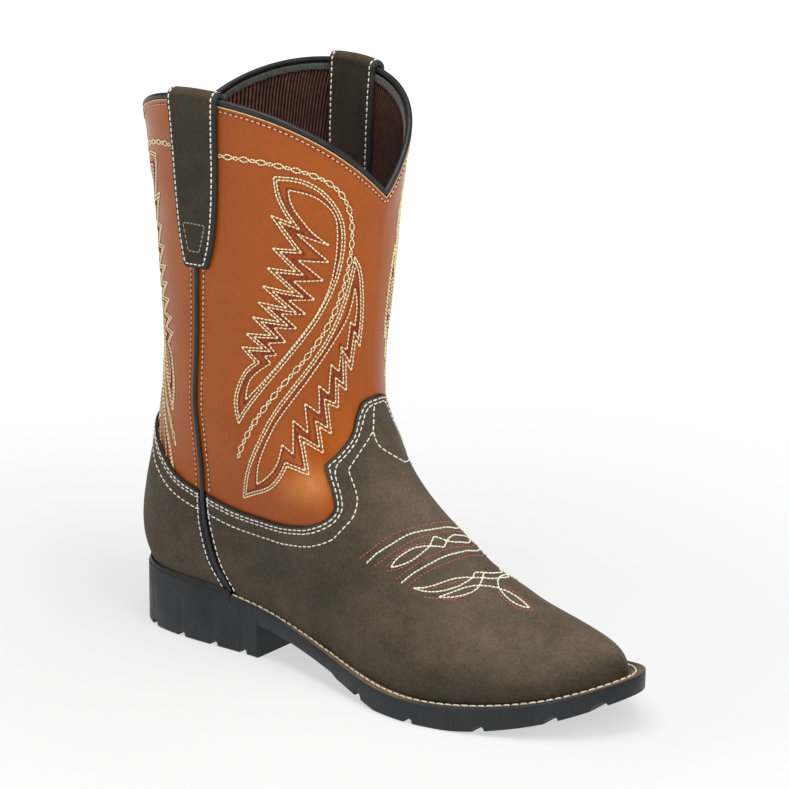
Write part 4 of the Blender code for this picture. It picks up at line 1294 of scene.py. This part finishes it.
def sewable(stretches, originals):
    """Dense paths of the stretches that still run the way of the outline that they were moved from."""
    kept = []
    for part, first in zip(stretches, originals):
        run = part[-1] - part[0]
        if run @ (first[-1] - first[0]) > 0.0 and np.linalg.norm(run) > SHORTEST_ROW:
            kept.append(smooth_path(part))
    return kept


def feather_rows(outer, heart):
    """Cream and red rows of one feather, as flat paths."""
    cream = sewable(outer, outer) + sewable(shifted(outer, ROW_STEP), outer) + sewable(heart, heart)
    red = sewable(shifted(heart, -RED_STEP), heart)
    red += sewable(shifted(outer, ROW_STEP + RED_STEP), outer)[:-1]
    return cream, red


def chain_rows(line):
    """Two threads that weave along a line and leave long and short links."""
    dense = smooth_path(line, FINE_SPACING)
    (long, wide), (short, slim) = LONG_LINK, SHORT_LINK
    at = np.mod(lengths(dense), long + short)
    sway = np.where(at < long, wide * np.sin(math.pi * at / long),
                    -slim * np.sin(math.pi * (at - long) / short))
    run = unit(np.gradient(dense, axis=0))
    side = np.c_[-run[:, 1], run[:, 0]]
    return [dense + side * (sign * sway)[:, None] for sign in (1.0, -1.0)]


def sew_ornament(shaft, cream, red):
    """The feather and chain pattern on both halves of the front and back panels."""
    large = feather_rows(outline(**LARGE_FEATHER), outline(**LARGE_HEART))
    small = feather_rows(outline(**SMALL_FEATHER), outline(**SMALL_HEART))
    chain = chain_rows(CHAIN)
    sewn = []
    for side in (-1, 1):
        for name in ("front", "back"):
            panel = Panel(side, name == "back")
            for row in large[1] + small[1]:
                red[name].sew(shaft, panel.place(row), *RED_STITCH)
            for rows, stitch in ((large[0] + small[0], CREAM_STITCH), (chain, CHAIN_STITCH)):
                for row in rows:
                    path = panel.place(row)
                    cream[name].sew(shaft, path, *stitch)
                    sewn.append(path)
    return sewn


def sew_bug(vamp, cream, red):
    """The toe stitching, mirrored across its axis near the ridge of the vamp."""
    chart = VampChart()
    for rows, tip, sewn, stitch in ((BUG_CREAM, TIP_CREAM, cream, TOE_CREAM_STITCH),
                                    (BUG_RED, TIP_RED, red, TOE_RED_STITCH)):
        paths = list(tip)
        for flat in map(np.array, rows):
            x, out = flat.T
            twin = np.c_[x, 2.0 * np.interp(x, BUG_AXIS["x"], BUG_AXIS["out"]) - out]
            if abs(flat[-1, 1] - twin[-1, 1]) < AXIS_REACH:
                paths.append(np.vstack([flat, twin[-2::-1]]))
            else:
                paths += [flat, twin]
        for path in paths:
            sewn.sew(vamp, chart.place(smooth_path(path)), *stitch)


def distances(points, targets):
    """Distance of each point from the nearest target."""
    tree = KDTree(len(targets))
    for i, target in enumerate(targets):
        tree.insert(target, i)
    tree.balance()
    return np.array([tree.find(p)[2] for p in points.reshape(-1, 3)]).reshape(points.shape[:-1])


def edge_field(grid):
    """Distance of each point of a piece from its top edge."""
    edge = [smooth_path(pair, FINE_SPACING)[:-1] for pair in zip(grid[-1, :-1], grid[-1, 1:])]
    return distances(grid, np.vstack(edge + [grid[-1, -1:]]))


def row_below_edge(grid, field, distance):
    """Path a set distance inside a piece's top edge, a point for each column."""
    path = []
    for j in range(grid.shape[1]):
        away, line = field[::-1, j], grid[::-1, j]
        past = np.flatnonzero(away >= distance)
        if len(past) and past[0] > 0:
            k = past[0]
            t = (distance - away[k - 1]) / (away[k] - away[k - 1])
            path.append(line[k - 1] + (line[k] - line[k - 1]) * t)
    return np.array(path)


def tongue_path(places):
    """Points on the last for an inner row of the tongue."""
    points = []
    for share, v in places:
        side = -1 if share < 0.0 else 1
        points.append(last_surface(seam_angle(v, side) * abs(share), v, side))
    return smooth_path(points)


def tongue_rows(row):
    """Turns the inner row of the vamp into two that meet beside the ridge and one that climbs it."""
    middle = int(row[:, 2].argmax())
    medial, lateral = (part[part[:, 2] < TONGUE_LEAVE_Z] for part in (row[:middle], row[middle:]))
    return [np.vstack([medial, tongue_path(TONGUE_MEDIAL)[::-1]]), tongue_path(TONGUE_LATERAL),
            np.vstack([tongue_path(TONGUE_LOOP), lateral]), tongue_path(TONGUE_CLIMB)]


# The upper's pieces. The front lies before a side seam and the back behind it.

BEHIND = {"front": -1.0, "back": 1.0}
OVERLAY_INK = 0.45
SEWN_REACH = 1.1
SEWN_DEPTH = 0.18
SHAFT_SHARP = 60.0
PIPING_TUCK = 0.01
PIPING_FOOT = 0.8
RIM_MITRE = 0.6
BINDING_TRIM = 0.1
BINDING_SIDES = 16
PALE_RADIUS = 0.24
PALE_LIFT = 0.15
PALE_OUT = 0.05
PALE_SIDES = 8
TAPE_HEIGHT = 3.0
TAPE_ROWS = 6
TAPE_FACES = (0.55, 0.12)
TAPE_FRAY = 0.35
TAPE_FRAY_TURN = 2.4


def seam_edge(kind):
    """Height of the vamp's or counter's top edge at the side seam."""
    return edge_height(kind, 1.0 if kind == "front" else 0.0)


def build_overlays(upper, white, toe_cream, toe_red):
    """Vamp and counter with their edge rows, the tongue's rows and the toe stitching."""
    for kind, node in (("front", "vamp"), ("back", "counter")):
        outer, inner, inside = upper.overlay(kind)
        add_leather(node, outer, inner, inside, OVERLAY_INK, FOOT)
        surface = Surface(outer, False, outer - inner)
        field = edge_field(outer)
        paths = [row_below_edge(outer, field, distance) for distance in EDGE_ROWS]
        if kind == "front":
            sew_bug(surface, toe_cream, toe_red)
            paths += tongue_rows(paths.pop())
        heights = np.linspace(ROW_FOOT, seam_edge(kind) - ROW_CLEAR, ROW_POINTS)
        paths += [beside_seam(heights, side, BEHIND[kind] * FLANK) for side in (-1, 1)]
        for path in paths:
            white.sew(surface, path, *SEAM_STITCH)


def sew_shaft(upper, shaft, rose, hole_shade):
    """Rows beside the pipings and under the collar, with painted shade in the needle holes between their
    stitches: short dark stitches in the gaps.
    """
    paths = []
    for side in (-1, 1):
        for kind in ("front", "back"):
            heights = np.linspace(seam_edge(kind) + ROW_CLEAR, ROW_TOP, ROW_POINTS)
            paths.append(beside_seam(heights, side, BEHIND[kind] * ROSE_FLANK[kind]))
    ring = [read_at(lengths(line), line, COLLAR_ROW) for line in upper.outer[::-1].transpose(1, 0, 2)]
    paths.append(np.array(ring + ring[:1]))
    for path in paths:
        rose.sew(shaft, path, *ROSE_STITCH)
        # Painted shade: short dark stitches in the gaps stand for the shadow in the needle holes
        hole_shade.sew(shaft, path, *HOLE_SHADE_STITCH, phase=1.0)
    return paths


def rib_lengths(upper):
    """Distance round the lining at each column, from the front to the back on both sides."""
    middle = upper.inner[-(LEG_STEPS // 2)]
    along = lengths(middle)
    back = upper.columns.index((-1, "back", 1.0))
    total = along[-1] + np.linalg.norm(middle[0] - middle[-1])
    share = np.r_[along[:back] / along[back], (total - along[back:]) / (total - along[back])]
    return share * along[back]


def build_shaft(upper, sewn):
    """Shaft leather dented by its stitching, with the ribbed lining on its inside."""
    rows, count = upper.outer.shape[:2]
    away = distances(upper.outer, np.vstack([smooth_path(path) for path in sewn]))
    # Nearness to the stitching: it dents the leather and sets the painted shade along the rows
    dent_and_shade = np.exp(-(away / SEWN_REACH) ** 2)
    outer = upper.outer - upper.normals * (SEWN_DEPTH * dent_and_shade)[..., None]
    points, faces, use = shell(outer, upper.inner, True)
    outside = use[: (rows - 1) * count].reshape(rows - 1, count)
    for j, (_, kind, _) in enumerate(upper.columns):
        if kind == "seam":
            outside[: upper.foot_rows, j - 1: j + 1] = 2
    piece = add_mesh("shaft", points, faces, [SHAFT, LINING, BLACK], use, SHAFT_SHARP)
    set_values(piece, "rib", np.tile(rib_lengths(upper), 2 * rows))
    # sewn marks the painted shade along the stitching, bend the painted highlight on the crease ridges
    for name, field in (("sewn", dent_and_shade), ("bend", upper.bend)):
        set_values(piece, name, np.r_[field.reshape(-1), np.zeros(rows * count)])
    finish_piece(piece, "shaft_leather", "upper")


def build_collar(upper):
    """Rolled binding on the rim, the pale line under it and the tape inside."""
    rim = (upper.outer[-1] + upper.inner[-1]) / 2.0
    out = upper.normals[-1]
    run = unit(np.roll(rim, -1, axis=0) - rim)
    both = unit(run + np.roll(run, 1, axis=0))
    lift = np.cross(both, out)
    lift = unit(lift * np.sign(lift[:, 2])[:, None])
    mitre = np.maximum((both * run).sum(axis=1), RIM_MITRE)
    path = rim + lift * ((BINDING_RADIUS + GAP) / mitre)[:, None] - lift * BINDING_TRIM
    points, faces = tube(path, out, BINDING_RADIUS - BINDING_TRIM, True, BINDING_SIDES)
    finish_piece(add_mesh("collar_roll", points, faces, [BLACK]), "black_trim", "collar_binding")
    line = upper.outer[-1] + out * PALE_OUT + lift * PALE_LIFT
    points, faces = tube(line, out, PALE_RADIUS, True, PALE_SIDES)
    finish_piece(add_mesh("collar_pale_line", points, faces, [PALE]), "shaft_leather")
    drop = np.linspace(0.0, TAPE_HEIGHT, TAPE_ROWS)
    strips = [read_at(lengths(edge), edge, drop) for edge in upper.inner[::-1].transpose(1, 0, 2)]
    grid = np.stack(strips, axis=1)
    grid[-1, :, 2] += TAPE_FRAY * np.sin(np.arange(grid.shape[1]) * TAPE_FRAY_TURN)
    points, faces, _ = shell(*(grid - out[None] * away for away in TAPE_FACES), True)
    finish_piece(add_mesh("collar_tape_strip", points, faces, [TAPE]), "shaft_leather")


def build_pipings(upper):
    """Black beads up the side seams, from the sole to the pull straps."""
    for side, name in ((-1, "side_piping_lateral"), (1, "side_piping_medial")):
        j = upper.columns.index((side, "seam", 0.0))
        keep = upper.v[:, j] < PIPING_TOP + PIPING_TUCK
        line, out = upper.outer[keep, j], upper.normals[keep, j]
        path = line + out * (PIPING_RADIUS * PIPING_FLATNESS + GAP)
        path[0] += unit(path[1] - path[0]) * PIPING_FOOT
        points, faces = tube(path, out, PIPING_RADIUS, False, flatness=PIPING_FLATNESS)
        finish_piece(add_mesh(name + "_bead", points, faces, [BLACK]), "black_trim", name)


def build_upper():
    """Shaft with its lining, vamp, counter, collar and pipings, and all their stitching."""
    upper = Upper()
    shaft = Surface(upper.outer, True, upper.normals)
    cream = {name: Thread("stitches_cream_" + name, CREAM) for name in ("front", "back")}
    red = {name: Thread("stitches_red_" + name, RED) for name in ("front", "back")}
    # The dark stitches between the rose ones are painted shade of the needle holes
    rose, hole_shade = Thread("stitches_rose", ROSE), Thread("stitch_hole_shade", INK_AND_HOLE_SHADE)
    foot_threads = [Thread("stitches_white", WHITE), Thread("stitches_toe_cream", TOE),
                    Thread("stitches_toe_red", PINK)]
    sewn = sew_ornament(shaft, cream, red)
    build_overlays(upper, *foot_threads)
    sewn += sew_shaft(upper, shaft, rose, hole_shade)
    build_shaft(upper, sewn)
    build_collar(upper)
    build_pipings(upper)
    for stitches in (*cream.values(), *red.values(), rose, hole_shade):
        stitches.finish("shaft_leather")
    for stitches in foot_threads:
        stitches.finish("foot_leather")


# Pull straps

STRAP_EDGE = 0.9
STRAP_LEFT = 0.5
STRAP_INK = 0.55
STRAP_ROW = 1.9
STRAP_ROW_END = 3.0
STRAP_ROW_CORNER = 0.6
STRAP_BOX = ((-3.2, 7.5), (3.2, 7.5), (6.2, 19.5), (-6.2, 19.5), (-3.2, 7.5))
STRAP_TIP_END = 0.80
STRAP_TIP_ROWS = 14
STRAP_OUTER_ROWS = 44
STRAP_OVER_ROWS = 15
STRAP_INNER_TOP = 0.995
STRAP_INNER_ROWS = 36
STRAP_FOOT_POINTS = 6
STRAP_UPRIGHT = 0.03
STRAP_ACROSS = np.sin(np.linspace(-math.pi / 2.0, math.pi / 2.0, 27))


def strap_sheet(side):
    """Underside of a strap, row by row up the outside, over the binding and down inside: its
    points, the way that it faces and its half width."""
    rows = []
    widest = STRAP_SHAPE["half_width"][-1]
    level = BINDING_RADIUS + GAP - WALL / 2.0
    at_rim = level + STRAP_CLEARANCE
    clear = BINDING_RADIUS + GAP + STRAP_CLEARANCE
    up = np.array([0.0, 0.0, 1.0])

    def place(v, half, middle):
        """A row's points on the last and the way that they face, level at the rim."""
        angle = middle + STRAP_ACROSS * half / arc_speed(middle, v, side)
        high = np.full_like(angle, v)
        out = surface_normal(angle, high, side)
        out[..., 2] *= np.clip((1.0 - v) / STRAP_UPRIGHT, 0.0, 1.0)
        return last_surface(angle, high, side), unit(out)

    tip = np.linspace(STRAP_OUTER_END, STRAP_TIP_END, STRAP_TIP_ROWS)
    for v in np.r_[tip, np.linspace(STRAP_TIP_END, 1.0, STRAP_OUTER_ROWS)[1:-1]]:
        half = float(monotone(STRAP_SHAPE["height"], STRAP_SHAPE["half_width"], v))
        point, out = place(v, half, seam_angle(v, side))
        away = np.interp(v, (STRAP_RISE_START, 1.0), (STRAP_GAP, at_rim))
        rows.append((point + out * away, out, half))
    point, out = place(1.0, widest, seam_angle(1.0, side))
    centre = point - out * (WALL / 2.0) + up * clear
    for turn in np.linspace(0.0, math.pi, STRAP_OVER_ROWS):
        way = out * math.cos(turn) + up * math.sin(turn)
        rows.append((centre + way * clear, way, widest))
    for v in np.linspace(STRAP_INNER_TOP, STRAP_INNER_END, STRAP_INNER_ROWS):
        point, out = place(v, widest, seam_angle(1.0, side) - INNER_LEG_LEAN * (1.0 - v))
        away = np.interp(v, (STRAP_FALL_END, 1.0), (STRAP_INNER_GAP, at_rim))
        rows.append((point - out * (WALL + away), -out, widest))
    return (np.array(part) for part in zip(*rows))


def build_strap(side, node, white, dark):
    """Pull strap with rounded inked edges, a row round its outer leg and a box at its foot."""
    low, ways, halves = strap_sheet(side)
    s = lengths(low[:, len(STRAP_ACROSS) // 2])
    ends = np.minimum(s, s[-1] - s)[:, None]
    inside = np.minimum((1.0 - np.abs(STRAP_ACROSS)) * halves[:, None], ends)
    high = low + ways * (STRAP_THICKNESS * rounded(inside, STRAP_EDGE, STRAP_LEFT))[..., None]
    add_leather(node, high, low, inside, STRAP_INK, STRAP)

    def on_strap(flat):
        """Points for flat places: millimetres across and along from the outer end."""
        found = []
        for x, along in flat:
            row = np.interp(along, s, np.arange(len(s)))
            i = min(int(row), len(s) - 2)
            half = halves[i] + (halves[i + 1] - halves[i]) * (row - i)
            line = high[i] + (high[i + 1] - high[i]) * (row - i)
            found.append(read_at(STRAP_ACROSS, line, x / half))
        return np.array(found)

    surface = Surface(high, False, ways)
    right = [(half - STRAP_ROW, along) for half, along in zip(halves, s)
             if STRAP_ROW < along < s[-1] - STRAP_ROW_END]
    right.insert(0, (right[0][0] - STRAP_ROW_CORNER, STRAP_ROW))
    left = [(-x, along) for x, along in right]
    foot = [(x, STRAP_ROW) for x in np.linspace(left[0][0], right[0][0], STRAP_FOOT_POINTS)]
    white.sew(surface, on_strap(left[::-1] + foot[1:-1] + right), *STRAP_STITCH)
    for pair in zip(STRAP_BOX[:-1], STRAP_BOX[1:]):
        dark.sew(surface, on_strap(smooth_path(pair)), *BOX_STITCH)


def build_straps():
    """Both pull straps and their stitching."""
    white, dark = Thread("stitches_strap", WHITE), Thread("stitches_strap_box", DARK)
    build_strap(-1, "pull_strap_lateral", white, dark)
    build_strap(1, "pull_strap_medial", white, dark)
    white.finish("foot_leather")
    dark.finish("foot_leather")


# Welt: its rounded edge as (inset, drop), its stitch groove, and the material of each face round it

WELT_EDGE = ((0.02, WELT_THICKNESS + GAP), (0.02, 0.45), (0.16, 0.16), (0.50, 0.02))
WELT_GROOVE = ((-0.72, 0.0), (-0.30, 0.2), (0.30, 0.2), (0.72, 0.0))
WELT_GROOVE_IN = 0.3
WELT_FLOOR_GAP = 0.1
WELT_USE = (0, 0, 1, 1, 2, 2, 2, 1, 1, 0)

# Lines of that profile on the welt's top and on the floor of its groove
WELT_TOP = slice(3, 9)
GROOVE_FLOOR = slice(5, 7)

WELT_THREAD_LIFT = 0.15
WELT_POINTS = 1001
WELT_SHARP = 50.0


def build_welt():
    """Welt strip with a rounded edge, a stitch groove and its big cream stitches."""
    place, inward = sole_outline(np.mod(np.linspace(-0.5, 0.5, WELT_POINTS), 1.0))
    keep = place[:, 0] > WELT_START_X - GAP
    place, inward = place[keep], inward[keep]
    margin = side_profile("margin", place[:, 0])
    groove = 0.5 * margin + WELT_GROOVE_IN
    inner = margin + INSOLE_INSET - GAP
    profile = [(np.full_like(margin, inset), drop) for inset, drop in WELT_EDGE]
    profile += [(groove + aside, drop) for aside, drop in WELT_GROOVE]
    profile += [(inner, 0.0), (inner, WELT_THICKNESS + GAP - WELT_FLOOR_GAP)]
    lines = []
    for inset, drop in profile:
        plan = place + inward * inset[:, None]
        lines.append(np.c_[plan, sole_top(plan[:, 0]) - drop])
    grid = np.stack(lines, axis=1)
    rows, count = grid.shape[:2]
    use = WELT_USE * (rows - 1) + (0, 0)
    obj = add_mesh("welt_strip", grid, capped(rows, count), [RUBBER, WELT, GROOVE], use, WELT_SHARP)
    finish_piece(obj, "welt_strip", "welt")
    top = grid[:, WELT_TOP]
    up = np.zeros_like(top)
    up[..., 2] = 1.0
    rope = Thread("stitches_welt", ROPE)
    path = grid[:, GROOVE_FLOOR].mean(axis=1)
    rope.sew(Surface(top, False, up), path, *WELT_STITCH, lift=WELT_THREAD_LIFT)
    rope.finish("welt_strip")


# Outsole: lines up its side as (inset, share of the height, rise), then over the heel seat's lip
# as (inset, share of the lip's height)

SOLE_LINES = (
    (0.90, 0.0, 0.0), (0.35, 0.0, 0.30), (0.05, 0.0, 0.90), (0.0, 1.0, -0.70), (0.12, 1.0, -0.20),
    (0.50, 1.0, 0.0),
)
LIP_LINES = ((0.62, 0.75), (0.95, 1.0), (1.30, 0.80), (1.50, 0.0))
LIP_HEIGHT = 1.8
WELT_SEAT_INSET = 0.2
WELT_SEAT_SOFT = 0.1
NOTCH_STEPS = np.sin(np.linspace(-math.pi / 2.0, math.pi / 2.0, 11))
STEP_HALF = 0.002
WAIST_END_X = (121.0, 125.0)
SOLE_STATIONS = 240
SOLE_POINTS = 4000
SOLE_SHARP = 38.0


def build_outsole():
    """One-piece sole and heel with softened edges, bottom notches and a lip round the heel seat."""
    place, inward = sole_outline(np.linspace(0.0, 1.0, SOLE_POINTS, endpoint=False))
    halves = branches(np.c_[place, inward])
    low_x, high_x = halves[-1][0, 0], halves[-1][-1, 0]
    stations = low_x + (high_x - low_x) * (1.0 - np.cos(np.linspace(0.0, math.pi, SOLE_STATIONS))) / 2.0
    half = GROOVE_WIDTH / 2.0
    grooves = HEEL_GROOVES_X + TREAD_GROOVES_X
    corners = [x + half * d for x in grooves for d in NOTCH_STEPS]
    steps = [x + d for x in (HEEL_BREAST_X, WELT_START_X - GAP) for d in (-STEP_HALF, STEP_HALF)]
    x = np.unique(np.r_[stations, corners, steps, WAIST_END_X, FLAT_START_X, SPRING_START_X])
    bottom = np.where(x < HEEL_BREAST_X, 0.0, underside(x))
    for groove in grooves:
        bottom = bottom + GROOVE_DEPTH * np.sqrt(np.clip(1.0 - ((x - groove) / half) ** 2, 0.0, 1.0))
    seat = x < WELT_START_X - GAP
    lip = np.where(seat, LIP_HEIGHT, 0.0)
    drop = np.where(seat, 0.0, WELT_THICKNESS + GAP)

    # Both sides line by line; the lip lies flat and the top edge is square where the welt sits
    grids = []
    profile = [(*line, 0.0) for line in SOLE_LINES]
    profile += [(inset, 1.0, 0.0, share) for inset, share in LIP_LINES]
    for side in (-1, 1):
        edge = read_at(rising(halves[side][:, 0]), halves[side], x)
        lines = []
        for inset, share, rise, on_lip in profile:
            square = (share == 1.0) & ~seat
            inward = np.where(square & (inset < WELT_SEAT_INSET), 0.0, inset)
            plan = edge[:, :2] + edge[:, 2:] * inward[:, None]
            top = sole_top(plan[:, 0]) - drop
            soft = np.where(square, min(rise, 0.0) * WELT_SEAT_SOFT, rise)
            lines.append(np.c_[plan, bottom + (top - bottom) * share + soft + lip * on_lip])
        grids.append(np.stack(lines, axis=1))
    rows, count = grids[0].shape[:2]
    total = rows * count
    faces = quads(rows, count, False).tolist() + quads(rows, count, False, total, True).tolist()
    for j in (0, count - 1):
        for a in range(j, total - count, count):
            faces.append([a, a + count, total + a + count, total + a])
    on_lip = np.arange(count - 1) >= len(SOLE_LINES) - 1
    use = np.r_[np.tile(on_lip, 2 * (rows - 1)), np.zeros(2 * (rows - 1))].astype(int)
    obj = add_mesh("sole_unit", np.stack(grids), faces, [RUBBER, BLACK], use, SOLE_SHARP, True)
    finish_piece(obj, "sole_rubber", "outsole")


# Set up

FLOOR_SIZE = 12000.0
FLOOR_GLOW = ((0.15, 0.60), (0.9, 1.0))
WORLD_STRENGTH = 0.18
LIGHT_AIM = (110.0, 0.0, 120.0)

# Lights: place and size in millimetres, power in watts
LIGHTS = {
    "key": ((1090.0, -260.0, 960.0), (800.0, 800.0), 9.0),
    "top": ((200.0, -150.0, 1400.0), (1000.0, 1000.0), 16.0),
    "strip": ((160.0, -1350.0, 330.0), (120.0, 250.0), 2.0),
    "left": ((-800.0, -800.0, 600.0), (600.0, 900.0), 1.5),
}

# Camera: lens and distances in millimetres, angles in degrees
CAMERA_LENS = 158.06
CAMERA_SENSOR = 36.0
CAMERA_AZIMUTH = 36.93
CAMERA_ELEVATION = 16.92
CAMERA_DISTANCE = 1423.7
CAMERA_ROLL = 0.58
CAMERA_AIM = (125.0, 0.0, 119.5)
CAMERA_CLIP_END = 60000.0


def add_object(name, data, place, turn):
    """Adds a light or a camera at a place in millimetres."""
    obj = bpy.data.objects.new(name, data)
    obj.location = Vector(place) * MM + Vector(ORIGIN)
    obj.rotation_euler = turn.to_euler()
    bpy.context.scene.collection.objects.link(obj)
    return obj


def add_floor():
    """White sweep under the boot that glows more with the distance, like a lit studio cove."""
    s = Shader("floor", 0.9, 0.1)
    s.colour(s.mottle(2.0, 0.27, 0.29, 2.0))
    distance = s.node("VectorMath", [("operation", "LENGTH")])
    s.links.new(s.coords, distance.inputs[0])
    s.links.new(s.ramp(distance.outputs["Value"], *FLOOR_GLOW), s.shader.inputs["Emission Color"])
    s.set(emission_strength=1.0)
    corners = [(FLOOR_SIZE * x, FLOOR_SIZE * y, 0.0) for x, y in ((-1, -1), (1, -1), (1, 1), (-1, 1))]
    obj = add_mesh("floor", corners, [[0, 1, 2, 3]], [s.material])


def add_lights():
    """White tent: big soft lights at the left, the right and above."""
    world = bpy.data.worlds.new("world")
    world.use_nodes = True
    background = world.node_tree.nodes["Background"]
    background.inputs["Color"].default_value = (1.0, 1.0, 1.0, 1.0)
    background.inputs["Strength"].default_value = WORLD_STRENGTH
    bpy.context.scene.world = world
    for name, (place, size, power) in LIGHTS.items():
        data = bpy.data.lights.new(name, "AREA")
        data.shape = "RECTANGLE"
        data.size, data.size_y = size[0] * MM, size[1] * MM
        data.energy = power
        add_object(name, data, place, (Vector(place) - Vector(LIGHT_AIM)).to_track_quat("Z", "Y"))


def add_camera():
    """Long lens from the toe's lateral side, a little above."""
    data = bpy.data.cameras.new("camera")
    data.lens = CAMERA_LENS
    data.sensor_width = CAMERA_SENSOR
    data.clip_end = CAMERA_CLIP_END * MM
    azimuth, elevation = math.radians(CAMERA_AZIMUTH), math.radians(CAMERA_ELEVATION)
    back = Vector((math.sin(azimuth) * math.cos(elevation), -math.cos(azimuth) * math.cos(elevation),
                   math.sin(elevation)))
    roll = Matrix.Rotation(math.radians(CAMERA_ROLL), 3, "Z")
    turn = back.to_track_quat("Z", "Y").to_matrix() @ roll
    place = Vector(CAMERA_AIM) + back * CAMERA_DISTANCE
    bpy.context.scene.camera = add_object("camera", data, place, turn)


build_upper()
build_straps()
build_welt()
build_outsole()
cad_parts["insole"].data.materials.clear()
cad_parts["insole"].data.materials.append(SOCK)
add_floor()
add_lights()
add_camera()
bpy.context.scene.view_settings.view_transform = "Standard"
